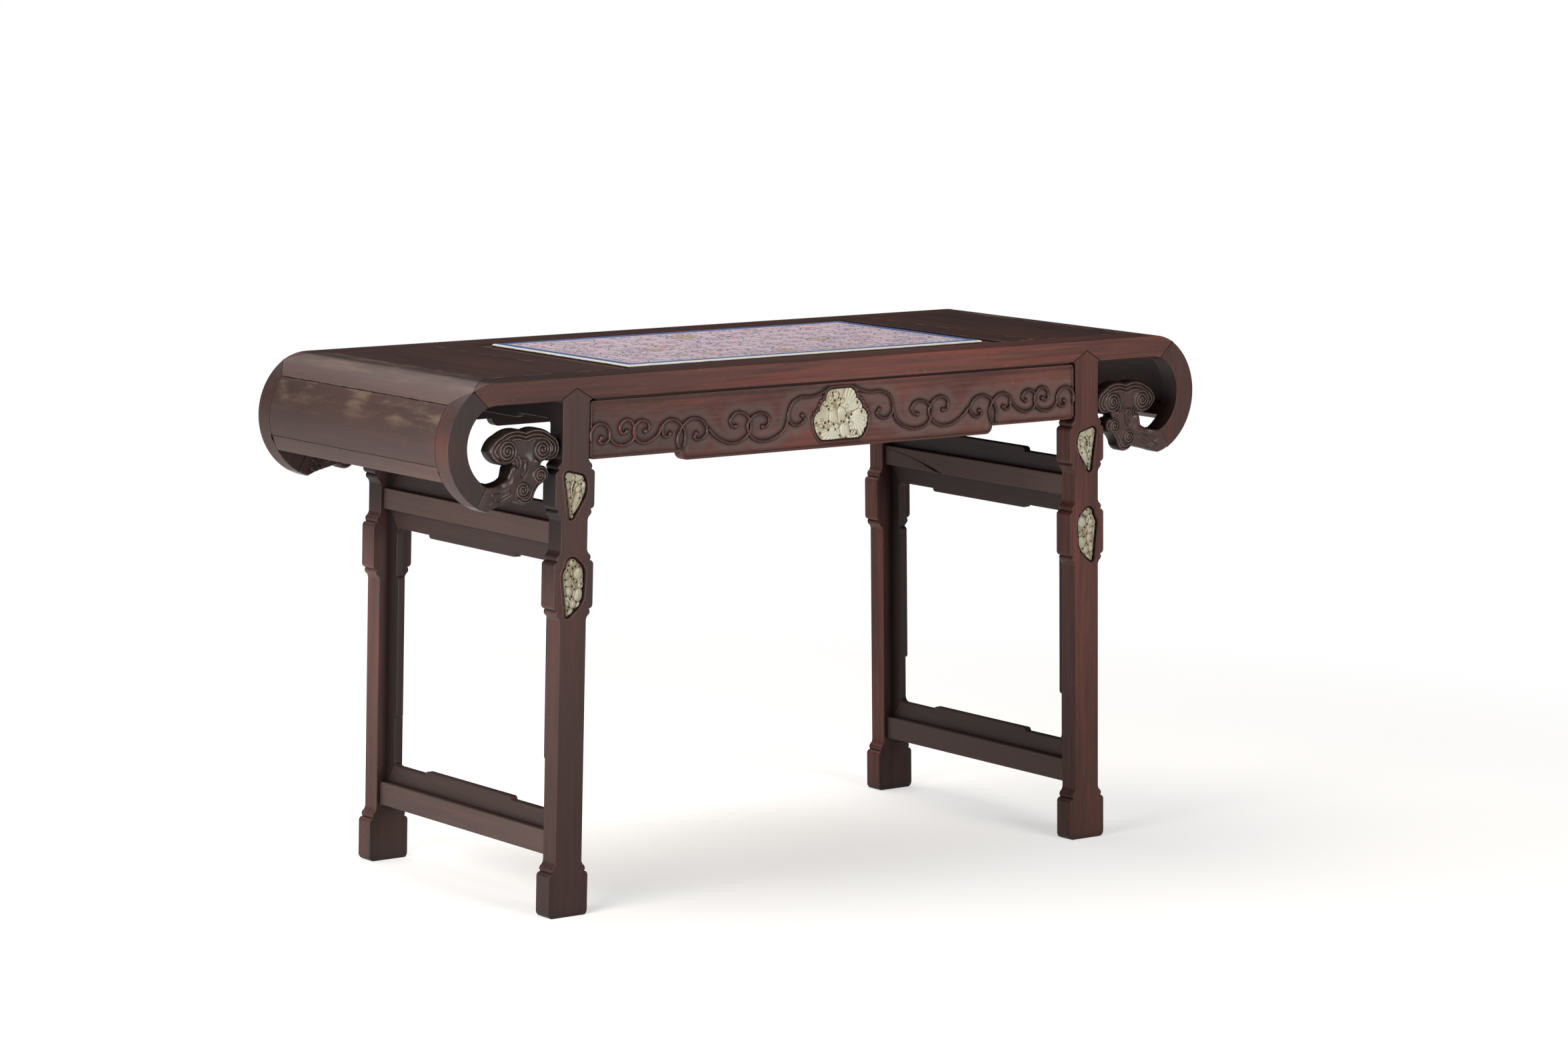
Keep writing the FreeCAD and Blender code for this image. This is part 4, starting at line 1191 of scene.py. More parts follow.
def fan(points, base, tip, open_half, pleats):
    """A pleated leaf that opens from its base to its tip, with a scalloped edge; height and fine lines."""
    reach = np.array(tip, float) - base
    length = np.hypot(*reach)
    away = points - np.array(base, float)
    out = np.hypot(away[:, 0], away[:, 1])
    angle = np.arctan2(reach[0] * away[:, 1] - reach[1] * away[:, 0], away @ reach)
    share = (angle + 0.24 * (out / length - 0.6)) / math.radians(open_half)
    wave = np.cos(math.pi * pleats * share)
    out = out / (length * (0.74 + 0.26 * np.cos(share * math.pi / 2)) * (1 + 0.06 * wave))
    rise = leaf_rise * np.sin(math.pi * (0.18 + 0.66 * ramp(out)))
    height = jade_floor + rise * (1 - 0.3 * share ** 2) + 0.14 * wave * ramp(out * 2)
    vein = 0.45 * (0.5 - 0.5 * wave) ** 9 * ramp(out * 3 - 0.6)
    rim = 0.7 * np.maximum(ramp((out - 0.94) / 0.06), ramp((np.abs(share) - 0.93) / 0.07))
    return np.where((np.abs(share) < 1) & (out < 1), height, nowhere), np.maximum(vein, rim)


def stem(points, path, width):
    across = along(points, path) / width
    height = np.where(across < 1, jade_floor + stem_rise * np.sqrt(ramp(1 - across ** 2)), nowhere)
    return height, 0.7 * ramp((across - 0.7) / 0.3)


def jade_heights(points, gap, shapes, holes):
    """Height and hollow: the highest motif wins, then the holes are drilled and the edge rounded."""
    ripple = np.sin(points[:, 0] * 0.55) * np.sin(points[:, 1] * 0.5)
    height = jade_floor + ground_rise + ground_ripple * ripple
    hollow = np.full(len(points), ground_hollow)
    for shape, line in shapes:
        higher = shape > height
        height = np.where(higher, shape, height)
        hollow = np.where(higher, line, hollow)
    stack = np.sort(np.array([shape for shape, line in shapes]), axis=0)
    crevice = ramp(1 - (stack[-1] - stack[-2]) / crevice_width) * (stack[-2] > jade_floor)
    height = np.minimum(height, jade_top) - crevice_depth * crevice
    # Painted shade: the lower ground and the crevices are darker, with dirt
    hollow = np.maximum(hollow, np.clip((height / jade_floor - 0.45) * 0.9, 0, 0.5))
    hollow = np.maximum(hollow, crevice_dirt_and_shade * crevice)
    # Drilled holes are painted black, as shade
    for x, z, radius in holes:
        drill = ramp((radius + 0.25 - np.hypot(points[:, 0] - x, points[:, 1] - z)) / drill_blur + 0.5)
        height = height - drill * (height + drill_depth)
        hollow = np.maximum(hollow, drill)
    # The outline is painted darker, with dirt and shade
    height -= jade_edge_depth * (1 - ramp(gap / jade_edge)) ** 2
    return height, np.maximum(hollow, jade_edge_dirt_and_shade * ramp(1 - gap / 1.3))


def jade_relief(motifs, middle, sign, bud_rise, stem_width, age):
    """Relief of a jade, its motifs measured from its middle and mirrored where sign is -1."""
    leaves, buds, stems, holes = motifs

    def relief(points, gap, near):
        seen = (points - np.array(middle)) * np.array([sign, 1.0])
        shapes = [fan(seen, *leaf) for leaf in leaves]
        shapes += [dome(seen, *bud, bud_rise) for bud in buds]
        shapes += [stem(seen, path, stem_width) for path in stems]
        return *jade_heights(seen, gap, shapes, holes), ramp(age(seen))

    return relief


def dark_gap(node, face, width):
    """A dark cord round a jade, painted shade where it sits in its bed."""
    edge = grown(spread(face_outline(node), 1.5), gap_out)
    ring = bead([edge], width, gap_height, gap_bud, joint_line, closed=True, step=gap_step)
    add_raised(node + "_gap", ring, -face, gap_tone, gap_number)


print("jade ground:", -jade_floor, "mm under the face")

# %% Jade in the apron
# Leaves as base, tip, half opening in degrees and pleats
apron_leaves = [
    ((8, 751), (27, 792), 56, 10), ((19, 747), (50, 723), 74, 12), ((-23, 741), (-55, 753), 74, 11),
    ((-14, 733), (-27, 705), 76, 11), ((-17, 764), (-33, 786), 56, 7), ((3, 768), (-10, 792), 40, 6),
    ((22, 727), (32, 706), 48, 6), ((36, 757), (47, 764), 62, 5), ((-38, 733), (-54, 727), 52, 6),
]
# Buds as x, z, half width, half height, turn in radians and depth of the crease
apron_buds = [
    (-28, 768, 5.0, 6.5, 0.5, 0.4), (-18, 759, 4.5, 5.5, -0.6, 0.3), (14, 738, 4.5, 6.0, 0.7, 0.3),
    (-31, 733, 4.5, 5.5, -0.5, 0.4), (-21, 736, 3.6, 5.0, 0.3, 0.3), (21, 733, 4.0, 5.5, -0.4, 0.3),
    (-8, 731, 4.0, 4.8, 0.5, 0.3), (-30, 776, 4.0, 4.5, 0.0, 0.3), (26, 717, 5.0, 4.5, 0.6, 0.4),
    (17, 713, 5.0, 3.6, -0.2, 0.3), (12, 762, 3.6, 5.5, -0.3, 0.3), (-38, 743, 4.0, 5.0, 0.8, 0.3),
    (-15, 748, 10.5, 15.0, 0.3, 0.4), (1, 749, 10.5, 15.0, -0.25, 0.4), (8, 724, 11.5, 12.5, 0.0, 0.5),
    (-9, 780, 9.0, 8.0, 0.2, 0.0), (-22, 777, 5.0, 6.0, 0.6, 0.0), (3, 771, 5.0, 6.5, -0.5, 0.3),
    (-4, 768, 4.0, 5.0, 0.0, 0.0), (-40, 733, 6.0, 5.0, 0.4, 0.4), (44, 752, 5.0, 5.5, -0.5, 0.3),
    (36, 766, 4.5, 5.5, 0.3, 0.3), (-4, 714, 5.0, 4.0, 0.2, 0.3), (-47, 726, 4.0, 4.5, 0.0, 0.0),
]
apron_stems = [
    [(-18, 766), (-14, 760), (-17, 755)], [(20, 742), (12, 738), (8, 733)],
    [(-24, 742), (-20, 735), (-13, 730)], [(46, 726), (50, 733), (47, 739)],
    [(-30, 728), (-22, 731), (-14, 738)],
]
# Drilled holes as x, z and radius
apron_holes = [
    (-16.8, 784.6, 1.5), (-15.9, 780.4, 1.3), (-5.0, 776.5, 1.5), (-0.5, 774.4, 1.4), (-11.9, 772.5, 1.6),
    (-3.0, 764.9, 1.7), (-17.8, 767.8, 1.4), (-27.7, 764.4, 1.7), (-23.8, 759.1, 1.5), (-31.2, 738.0, 1.8),
    (-24.3, 739.6, 1.6), (-13.9, 734.5, 1.8), (-48.6, 738.5, 1.6), (-24.8, 726.0, 1.9), (-10.9, 726.0, 1.5),
    (-40.1, 721.6, 1.6), (10.9, 747.0, 2.0), (16.8, 742.6, 1.6), (21.8, 748.0, 1.7), (15.9, 736.1, 1.5),
    (6.9, 737.3, 1.5), (1.0, 738.4, 1.5), (30.7, 716.6, 1.7), (19.3, 721.7, 1.6), (33.2, 766.6, 1.6),
    (42.1, 751.9, 1.5), (-2.0, 715.5, 1.6), (10.9, 711.6, 1.4), (47.6, 722.0, 1.3), (-33.7, 731.6, 1.5),
]
apron_jade_tone = 0.9
apron_jade_step, apron_bud_rise, apron_stem_width = 0.6, 3.2, 1.7
apron_gap_face, apron_gap_width = apron_face + 0.4, 2.6


def apron_age(points):
    """The skin lies at the upper left."""
    return (points[:, 1] - 762 - 0.5 * points[:, 0]) / 34


motifs = (apron_leaves, apron_buds, apron_stems, apron_holes)
relief = jade_relief(motifs, (0, 0), 1, apron_bud_rise, apron_stem_width, apron_age)
mesh = carved_slab("apron_jade", apron_jade_step, relief)
add_carved("apron_jade", mesh, jade, "jade", tone=apron_jade_tone)
dark_gap("apron_jade", apron_gap_face, apron_gap_width)

# %% Jades in the legs
leg_face = 279.0
leg_jade_tones = {"left": 0.54, "right": 0.74}
leg_jade_ages = {"left": 0.5, "right": 0.1}
leg_jade_step, leg_bud_rise, leg_stem_width = 0.5, 3.3, 1.4
leg_gap_width = 1.5
line_out, line_width, line_height, line_bud = 4.2, 1.5, 0.6, 0.3
line_tone, line_number = 1.2, 1.1
# Motifs of the right leg, from the middle of each jade; the left leg is its mirror image
upper_leaves = [((6, 21), (18, 34), 58, 7), ((-1, 20), (-14, 33), 62, 7), ((-6, 1), (-19, 13), 46, 6)]
upper_buds = [
    (-5.0, -10, 7.6, 20.0, 0.38, 0.5), (-7.5, 8.5, 5.4, 6.6, 0.5, 0.4), (-16.5, 13, 4.2, 7.4, 0.2, 0.4),
    (13.0, 15, 4.2, 8.6, -0.15, 0.4), (10.5, 2, 3.4, 7.4, 0.1, 0.3), (8.5, -9, 3.0, 4.6, 0.2, 0.3),
    (2.0, 27, 3.6, 5.0, 0.3, 0.3), (-2.5, 15, 3.2, 4.6, 0.8, 0.3), (5.5, -33, 2.6, 4.0, 0.1, 0.0),
]
upper_stems = [
    [(15.4, 20), (12.5, 8), (11.4, 0), (9.4, -12), (7.4, -24), (6.4, -35)],
    [(2, 21), (5.5, 13), (6.5, 5), (4.5, -4)], [(9.5, -14), (6.0, -13.5), (4.2, -17), (5.4, -21), (8.4, -21)],
    [(-6.4, -2), (-10.4, -3), (-11, -7), (-7.6, -8.4)], [(-18, 24), (-8, 22), (-2, 19)],
]
upper_holes = [
    (-1.6, 19.5, 1.3), (1.2, 15.6, 1.5), (3.2, 11.6, 1.5), (4.0, 7.4, 1.4), (8.6, 9.5, 1.3), (9.0, 5.0, 1.1),
    (6.4, -17.0, 1.5), (5.6, -25.0, 1.3), (5.2, -29.5, 1.1), (-12.6, 16.0, 1.2), (9.4, 20.5, 1.1),
    (-8.4, -5.4, 1.2), (-11.5, 6.0, 1.2), (7.0, -4.0, 1.2), (17.0, 25.5, 1.1), (-17.0, 21.5, 1.0),
]
lower_leaves = [
    ((4, 2), (13, 12), 55, 6), ((-10, 4), (-19, 10), 60, 6), ((2, -34), (6, -44), 62, 6),
    ((6, 22), (14, 32), 55, 6), ((-6, -33), (-13, -40), 55, 5), ((4, -14), (13, -22), 50, 5),
]
lower_buds = [
    (0, 38, 8.5, 6.5, 0.2, 0.4), (-10.5, 21, 8.2, 9.6, 0.5, 0.4), (-10.5, -13, 8.4, 10.4, 0.2, 0.4),
    (6.5, -6, 5.6, 7.6, -0.2, 0.3), (-1.0, -26, 5.6, 6.6, 0.1, 0.3), (9.5, 21, 5.0, 7.0, -0.4, 0.3),
    (-15.5, 4.5, 4.2, 4.6, 0, 0), (10.5, -24, 4.0, 5.5, -0.3, 0.3), (-11, -29, 4.5, 5.5, 0.4, 0.3),
]
lower_stems = [
    [(4, 30), (1, 22), (4, 14), (0, 6), (-4, 0)], [(-4, 0), (-2, -12), (2, -20)],
    [(-17, 12), (-10, 8), (-4, 10)], [(-20, 2), (-16, -1), (-11, 1), (-12, 6)],
    [(8, -14), (4, -18), (3, -30)],
    [(9.2, 19.5), (11, 23.4), (15, 23.6), (17.6, 19.8), (15.6, 15.6), (11, 14.6), (4, 16)],
    [(7, 9), (9, 12.4), (14, 11.4), (16.6, 6), (15.4, 0.6), (11, -1)],
    [(-7, 43), (-1, 46), (5, 43), (7, 37), (4, 32)],
]
lower_holes = [
    (-1.0, 41.0, 1.3), (-6.0, 32.0, 1.5), (-1.0, 29.0, 1.4), (6.5, 34.0, 1.3), (2.5, 17.0, 1.5),
    (-3.0, 12.0, 1.5), (-8.0, 7.5, 1.4), (0.0, 1.5, 1.5), (12.0, 2.0, 1.3), (-4.0, -3.5, 1.4),
    (0.5, -15.0, 1.5), (4.5, -18.5, 1.3), (-7.0, -23.5, 1.5), (6.0, -30.5, 1.4), (-3.5, -34.0, 1.3),
    (13.0, 12.5, 1.3), (-15.5, 4.5, 1.3), (11.5, -13.0, 1.2), (-17.0, -3.0, 1.2), (9.0, 27.5, 1.2),
    (-14.0, 31.0, 1.2), (8.5, -36.0, 1.2),
]
leg_motifs = {"upper": (upper_leaves, upper_buds, upper_stems, upper_holes),
              "lower": (lower_leaves, lower_buds, lower_stems, lower_holes)}


def leg_age(end):
    """The skin lies at the upper outer corner, over an even tint."""
    return lambda points: np.maximum((points[:, 1] + points[:, 0] - 20) / 30, 0) + leg_jade_ages[end]


for end, sign in (("right", 1), ("left", -1)):
    for level, motifs in leg_motifs.items():
        node = end + "_" + level + "_jade"
        low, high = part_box(node)
        middle = ((low.x + high.x) / 2 / mm, (low.z + high.z) / 2 / mm)
        relief = jade_relief(motifs, middle, sign, leg_bud_rise, leg_stem_width, leg_age(end))
        mesh = carved_slab(node, leg_jade_step, relief)
        dark_gap(node, leg_face, leg_gap_width)
        add_carved(node, mesh, jade, "jade", tone=leg_jade_tones[end])
        edge = grown(spread(face_outline(node), 2.5), line_out)
        line = bead([edge], line_width, line_height, line_bud, hardwoods["z"], closed=True)
        add_raised(node + "_line", line, -leg_face, line_tone, line_number)

# %% [markdown]
# ## Porcelain plaque
# A slab of painted porcelain fills the middle of the top: a cream lip, a blue border and a lilac ground
# crowded with scrolling stems, leaves and blossoms in raised enamel. One sprig is drawn once, in three
# colourings, and Geometry Nodes repeat it over the ground with a turn and a size of its own each time, from a
# fixed seed.

# %% Porcelain and enamel finishes
plaque_half = (354.0, 194.0)
plaque_top = 841.5
plaque_low = 834.5
plaque_round = 2.6
plaque_sag = 2.4
# The border's bands from the inside out: how far from the edge each one begins, and its colour
border = 24.0
border_bands = [(22.2, colour(52, 66, 122)), (20.8, colour(230, 220, 224)), (17.8, colour(72, 108, 170)),
                (3.4, colour(226, 224, 212))]
band_blur = 0.8
stained_edge = (0.8388, 0.8396)
ground_pink, ground_lilac, ground_pale = colour(242, 210, 218), colour(232, 206, 222), colour(240, 226, 232)
dust_brown, edge_brown, wash_pale = colour(150, 132, 120), colour(62, 44, 36), colour(238, 226, 226)


def porcelain_finish():
    material, wire = new_finish("painted_porcelain")
    place = wire.place()
    x, y, z = (wire.part(place, axis) for axis in "XYZ")
    gaps = [half * mm - wire.math("ABSOLUTE", part) for half, part in zip(plaque_half, (x, y))]
    gap = wire.math("MINIMUM", *gaps) + wire.noise(place, 90.0, 2.0) * 0.0012
    cloud = wire.noise(place, 13.0, 4.0, 0.6)
    speck = wire.noise(place, 700.0, 2.0).between(0.56, 0.68)
    bands = [(1.0 - gap.between(begin * mm, (begin + band_blur) * mm), paint)
             for begin, paint in border_bands]
    dust = wire.noise(place, 40.0, 5.0).between(0.62, 0.72)
    stained = z + wire.noise(place, 60.0, 3.0) * 0.001
    glaze = wire.layers(ground_pink, [
        (cloud.between(0.3, 0.7), ground_lilac), (speck * 0.3, ground_pale), *bands,
        (dust * 0.15, dust_brown), (1.0 - stained.between(*stained_edge), edge_brown)])
    close_finish(wire, Base_Color=glaze, Roughness=0.22 + cloud * 0.12, Specular_IOR_Level=0.5)
    return material


def enamel_finish():
    material, wire = new_finish("raised_enamel")
    paint = wire.node("ShaderNodeAttribute", {"attribute_name": "paint"}, {}, "Color")
    wash = wire.noise(wire.place(), 260.0, 3.0).between(0.35, 0.7)
    close_finish(wire, Base_Color=wire.blend(wash * 0.3, paint, wash_pale), Roughness=0.24 + wash * 0.1,
                 Specular_IOR_Level=0.5)
    return material


porcelain = porcelain_finish()
enamel = enamel_finish()
print("border bands:", len(border_bands))

# %% Slab
lip_steps = [0.0, 0.25, 0.7, 1.3, 2.0, 2.8, 4.5, 9.0]
face_begins = 16
face_step = 6


def edge_steps(half):
    """Lines across the slab, closer together over the rounded lip."""
    middle = np.linspace(-half + face_begins, half - face_begins, int(half / face_step))
    return np.concatenate([[-half + e for e in lip_steps], middle, [half - e for e in reversed(lip_steps)]])


def plaque_level(x, y):
    """Height of the glazed face in mm: it sags a little, and its lip is rounded."""
    a, b = plaque_half
    gap = np.clip(np.minimum(a - np.abs(x), b - np.abs(y)), 0, plaque_round)
    lip = plaque_round - np.sqrt(plaque_round ** 2 - (plaque_round - gap) ** 2)
    return plaque_top - plaque_sag * (1 - (x / a) ** 2) * (1 - (y / b) ** 2) - lip


def plaque_mesh():
    xs, ys = edge_steps(plaque_half[0]), edge_steps(plaque_half[1])
    x, y = np.meshgrid(xs, ys, indexing="ij")
    face = np.column_stack([x.ravel(), y.ravel(), plaque_level(x, y).ravel()])
    rear = face.copy()
    rear[:, 2] = plaque_low
    count, cols, rows = len(face), len(xs), len(ys)
    quads = [(i * rows + j, (i + 1) * rows + j, (i + 1) * rows + j + 1, i * rows + j + 1)
             for i in range(cols - 1) for j in range(rows - 1)]
    faces = quads + [tuple(k + count for k in reversed(q)) for q in quads]
    ring = [i * rows for i in range(cols)] + [(cols - 1) * rows + j for j in range(1, rows)]
    ring += [i * rows + rows - 1 for i in reversed(range(cols - 1))] + list(reversed(range(1, rows - 1)))
    for a, b in zip(ring, ring[1:] + ring[:1]):
        faces.append((a, a + count, b + count, b))
    mesh = bpy.data.meshes.new("plaque")
    mesh.from_pydata((np.concatenate([face, rear]) * mm).tolist(), [], faces)
    mesh.shade_smooth()
    mesh.set_sharp_from_angle(angle=math.radians(40))
    return mesh


mesh = plaque_mesh()
mesh.materials.append(porcelain)
add_piece("glazed_plaque", mesh, "porcelain_plaque")
print("plaque:", len(mesh.polygons), "faces")

# %% Sprig of scrolling stems, leaves and blossoms
petal_height, stroke_height, enamel_foot = 0.3, 0.22, -0.06
leaf_blue = colour(58, 84, 148)
leaf_green = colour(74, 122, 100)
stem_green = colour(66, 96, 92)
gold = colour(214, 176, 92)
coil_steps, coil_turns, coil_out, coil_in, coil_apart, coil_width = 25, 2.5, 22, 15, 3, 1.3
# Lengths and widths, and how far out leaves, petals and buds sit
leaf_size, petal_size, bud_size, heart_size = (7.0, 3.0), (6.0, 3.4), (4.2, 3.2), (4.0, 4.0)
leaf_out, petal_out, bud_out = 3.0, 4.0, 25
leaf_lean = 0.8


class Sprig:
    """Low enamel strokes about the origin, in millimetres, each with its own colour."""

    def __init__(self):
        self.points = []
        self.faces = []
        self.paints = []

    def add(self, points, faces, paint):
        start = len(self.points)
        self.points += points
        self.faces += [tuple(start + i for i in face) for face in faces]
        self.paints += [paint] * len(points)

    def petal(self, x, y, length, width, turn, paint, sides=8):
        c, s = math.cos(turn), math.sin(turn)
        ring = []
        for k in range(sides):
            a = 2 * math.pi * k / sides
            u, v = length / 2 * math.cos(a), width / 2 * math.sin(a) * (1 - 0.3 * math.cos(a))
            ring.append((x + u * c - v * s, y + u * s + v * c, enamel_foot))
        faces = [(sides, k, (k + 1) % sides) for k in range(sides)]
        self.add(ring + [(x, y, petal_height)], faces, paint)

    def ring(self, x, y, radius, turns, length, width, paint, sides=8):
        """Petals round a middle that point outwards."""
        for turn in turns:
            self.petal(x + radius * math.cos(turn), y + radius * math.sin(turn), length, width, turn, paint,
                       sides)

    def stroke(self, path, width, paint):
        points = []
        for k, (x, y) in enumerate(path):
            ahead = path[min(k + 1, len(path) - 1)]
            behind = path[max(k - 1, 0)]
            dx, dy = ahead[0] - behind[0], ahead[1] - behind[1]
            size = math.hypot(dx, dy) or 1
            nx, ny = -dy / size * width / 2, dx / size * width / 2
            points += [(x + nx, y + ny, enamel_foot), (x, y, stroke_height), (x - nx, y - ny, enamel_foot)]
        faces = []
        for a in range(0, 3 * (len(path) - 1), 3):
            faces += [(a + 1, a, a + 3, a + 4), (a + 2, a + 1, a + 4, a + 5)]
        self.add(points, faces, paint)

    def mesh(self, name):
        made = bpy.data.meshes.new(name)
        made.from_pydata([tuple(c * mm for c in p) for p in self.points], [], self.faces)
        paint = made.attributes.new("paint", "FLOAT_COLOR", "POINT")
        paint.data.foreach_set("color", np.array(self.paints, np.float32).ravel())
        return made


def scroll_sprig(blossom, heart):
    """Two coils with leaves, a blossom between them, and five small buds outside."""
    sprig = Sprig()
    for way in (1, -1):
        path = []
        for k in range(coil_steps + 1):
            t = k / coil_steps
            angle = way * (t * coil_turns * math.pi) + (0 if way > 0 else math.pi)
            radius = coil_out - coil_in * t
            path.append((way * coil_apart + radius * math.cos(angle), radius * math.sin(angle)))
        sprig.stroke(path, coil_width, stem_green)
        for k in range(1, coil_steps - 1, 3):
            x, y = path[k]
            turn = math.atan2(y, x) + way * leaf_lean
            sprig.ring(x, y, leaf_out, [turn], *leaf_size, leaf_blue if k % 2 else leaf_green)
    sprig.ring(0, 0, petal_out, [math.pi / 4 * k for k in range(8)], *petal_size, blossom)
    sprig.petal(0, 0, *heart_size, 0, heart)
    for turn in (1.26 * k + 0.4 for k in range(5)):
        sprig.petal(bud_out * math.cos(turn), bud_out * math.sin(turn), *bud_size, turn * 2, blossom, sides=6)
    return sprig.mesh("sprig")


print("steps of a coil:", coil_steps)


# %% Repeat the sprig over the ground
def ground_tree():
    inputs = {"Geometry": ["Sprig"], "Float": ["Width", "Depth", "Stray"],
              "Int": ["Columns", "Rows", "Kinds", "Kind", "Seed"], "Material": ["Finish"]}
    tree, wire, take = node_group("enamel_ground", inputs, "Ground")

    def chance(low, high):
        return wire.node("FunctionNodeRandomValue", {"data_type": "FLOAT"},
                         {2: low, 3: high, 8: take("Seed")}, out=1)

    grid = wire.node("GeometryNodeMeshGrid", {}, {"Size X": take("Width"), "Size Y": take("Depth"),
                                                 "Vertices X": take("Columns"), "Vertices Y": take("Rows")})
    stray = take("Stray")
    near, far = wire.join(stray * -1.0, stray * -1.0, 0.0), wire.join(stray, stray, 0.0)
    nudge = wire.node("FunctionNodeRandomValue", {"data_type": "FLOAT_VECTOR"},
                      {0: near, 1: far, 8: take("Seed")})
    spots = wire.node("GeometryNodeSetPosition", {}, {"Geometry": grid, "Offset": nudge})
    turn_at = wire.math("MODULO", wire.node("GeometryNodeInputIndex"), take("Kinds"))
    mine = wire.node("ShaderNodeMath", {"operation": "COMPARE"}, {0: turn_at, 1: take("Kind"), 2: 0.1})
    many = wire.node("GeometryNodeInstanceOnPoints", {}, {
        "Points": spots, "Selection": mine, "Instance": take("Sprig"),
        "Rotation": wire.join(0.0, 0.0, chance(0.0, 6.283)), "Scale": chance(0.85, 1.1)})
    close_group(wire, take, many, "Ground")
    return tree


def onto_plaque(mesh):
    """Drop enamel strokes that cross the border, and lay the rest on the sagging face."""
    work = bmesh.new()
    work.from_mesh(mesh)
    a, b = plaque_half[0] - border, plaque_half[1] - border
    out = [v for v in work.verts if abs(v.co.x) / mm > a or abs(v.co.y) / mm > b]
    bmesh.ops.delete(work, geom=out, context="VERTS")
    for v in work.verts:
        v.co.z += plaque_level(v.co.x / mm, v.co.y / mm) * mm
    bmesh.ops.recalc_face_normals(work, faces=work.faces)
    for f in work.faces:
        if f.normal.z < 0:
            f.normal_flip()
    work.to_mesh(mesh)
    work.free()
    mesh.shade_smooth()
    return mesh


enamel_ground = ground_tree()
# Colours of a blossom and its heart
blossoms = [(colour(176, 52, 84), gold), (colour(70, 60, 140), gold),
            (colour(226, 214, 214), colour(196, 70, 70))]
ground_sizes = {"Width": 0.648, "Depth": 0.328, "Stray": 0.004, "Columns": 15, "Rows": 8,
                "Kinds": len(blossoms), "Seed": 11, "Finish": enamel}
for kind, paints in enumerate(blossoms):
    stand = bpy.data.objects.new("sprig", scroll_sprig(*paints))
    scene.collection.objects.link(stand)
    mesh = onto_plaque(run_tree(stand, enamel_ground, {**ground_sizes, "Kind": kind}))
    add_piece("plaque_sprigs_" + str(kind + 1), mesh)
    print("sprigs", kind + 1, len(mesh.polygons), "faces")

# %% Four ochre rounds in the middle
round_places = [(-18.0, 123.0), (-179.0, -15.0), (152.0, -19.0), (-6.0, -142.0)]
round_width, round_rim = 46.0, 25
round_ochre, round_rose = colour(206, 176, 132), colour(186, 128, 122)
rounds = Sprig()
for x, y in round_places:
    rounds.petal(x, y, round_width, round_width, 0, round_ochre, sides=32)
    rim = [(x + round_rim * math.cos(k / 5), y + round_rim * math.sin(k / 5)) for k in range(33)]
    rounds.stroke(rim, 1.8, leaf_blue)
    rounds.ring(x, y, 14, [math.pi / 6 * k for k in range(12)], 9.0, 4.2, round_rose)
mesh = rounds.mesh("rounds")
mesh.materials.append(enamel)
add_piece("plaque_rounds", onto_plaque(mesh))
print("rounds:", len(round_places))

# %% [markdown]
# ## Open seams and a crack
# Age has opened the seam along the left roll, loosened the one below it and split a stretcher. Each is a thin
# dark sliver laid on the surface: its line is dropped onto the solid with a ray, and its width wavers from a
# fixed seed.

# %% Slivers of shadow
sliver_proud, sliver_sunk = 0.15 * mm, 0.5 * mm
roll_pieces = ("left_scroll_panel", "left_end_rail", "left_scroll_bottom_rail")
clear_of_roll = 200


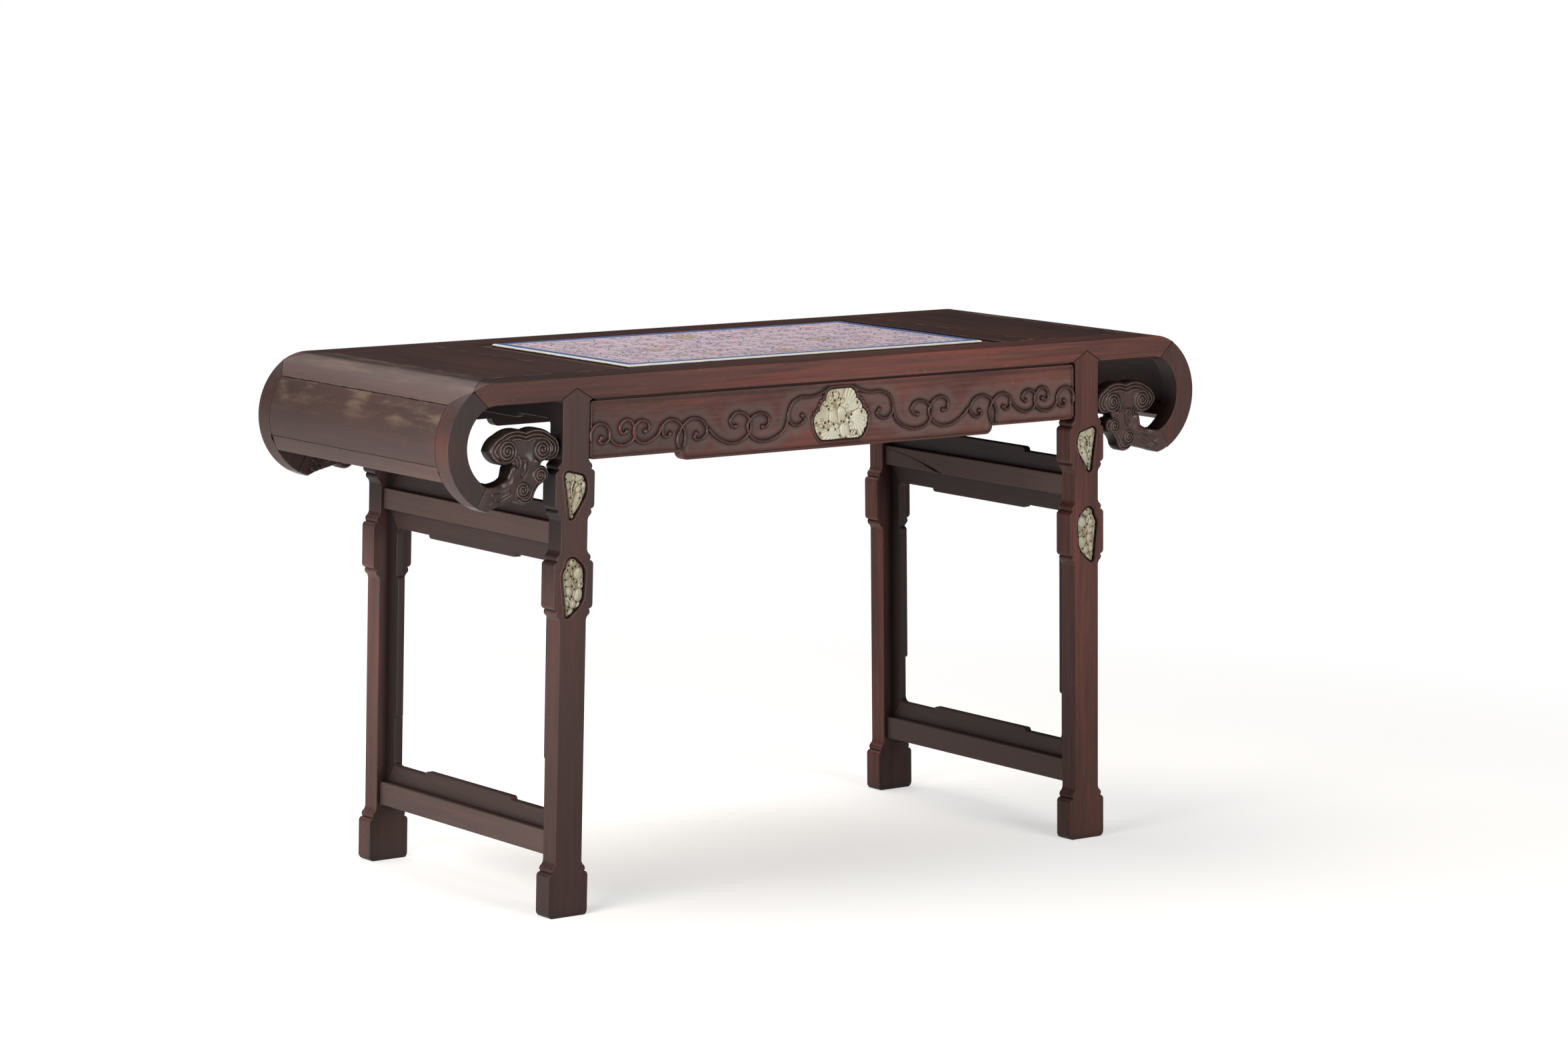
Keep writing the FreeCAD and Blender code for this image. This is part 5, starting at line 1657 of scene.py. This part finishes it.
def sliver(spots, widths, name):
    """A closed sliver along (point, normal) spots, proud of the surface by a hair and sunk below it."""
    work = bmesh.new()
    rings = []
    for k, (point, normal) in enumerate(spots):
        ahead = spots[min(k + 1, len(spots) - 1)][0] - spots[max(k - 1, 0)][0]
        across = ahead.cross(normal).normalized() * widths[k] * mm / 2
        corners = (point + across, point + normal * sliver_proud,
                   point - across, point - normal * sliver_sunk)
        rings.append([work.verts.new(c) for c in corners])
    for a, b in zip(rings, rings[1:]):
        for i in range(4):
            work.faces.new((a[i], a[(i + 1) % 4], b[(i + 1) % 4], b[i]))
    work.faces.new(rings[0])
    work.faces.new(rings[-1])
    bmesh.ops.recalc_face_normals(work, faces=work.faces)
    mesh = made_mesh(work, name)
    mesh.materials.append(joint_line)
    add_piece(name, mesh)


def dropped(start, way, nodes):
    """Where a ray first meets one of the nodes."""
    hits = [trees[node].ray_cast(Vector(start) * mm, Vector(way)) for node in nodes]
    first = min((hit for hit in hits if hit[0] is not None), key=lambda hit: hit[3])
    return first[0], first[1]


def roll_spot(y, degrees):
    a = math.radians(degrees)
    out = Vector((-math.cos(a), 0, math.sin(a)))
    return dropped(Vector((-roll_x, y, roll_z)) + out * clear_of_roll, -out, roll_pieces)


print("end of the roll at", [round(v, 3) for v in roll_spot(0, 0)[0]])

# %% The seams and the split
chance = random.Random(7)
seam_angle, low_seam_angle = 38.9, -15.5
seam_half = 241
seam_parts = 60
dash_start, dash_limit = -240.0, 200
dash_parts = 8
dash_tip = 0.2
seam_y = [-seam_half + 2 * seam_half * k / seam_parts for k in range(seam_parts + 1)]
sliver([roll_spot(y, seam_angle + chance.uniform(-0.35, 0.25)) for y in seam_y],
       [chance.uniform(0.9, 2.4) for y in seam_y], "roll_open_seam")
dashes = 0
while dash_start < dash_limit:
    length = chance.uniform(18, 60)
    ys = [dash_start + length * k / dash_parts for k in range(dash_parts + 1)]
    spots = [roll_spot(y, low_seam_angle + chance.uniform(-0.15, 0.15)) for y in ys]
    widths = [dash_tip] + [chance.uniform(0.6, 1.2) for y in ys[1:-1]] + [dash_tip]
    dashes += 1
    sliver(spots, widths, "roll_low_seam_" + str(dashes))
    dash_start += length + chance.uniform(8, 26)
# The split in the right upper stretcher, as y, z and width, seen from x
split = [(236, 607, 0.56), (215, 605, 0.84), (190, 602, 1.12), (165, 598, 1.4), (142, 593, 2.1),
         (124, 588, 3.92), (108, 584, 5.04), (96, 581, 2.24), (84, 580.5, 0.84)]
split_seen_from = 300
sliver([dropped((split_seen_from, y, z), (1, 0, 0), ("right_upper_stretcher",)) for y, z, width in split],
       [width for y, z, width in split], "stretcher_split")
print("seams:", dashes + 2)
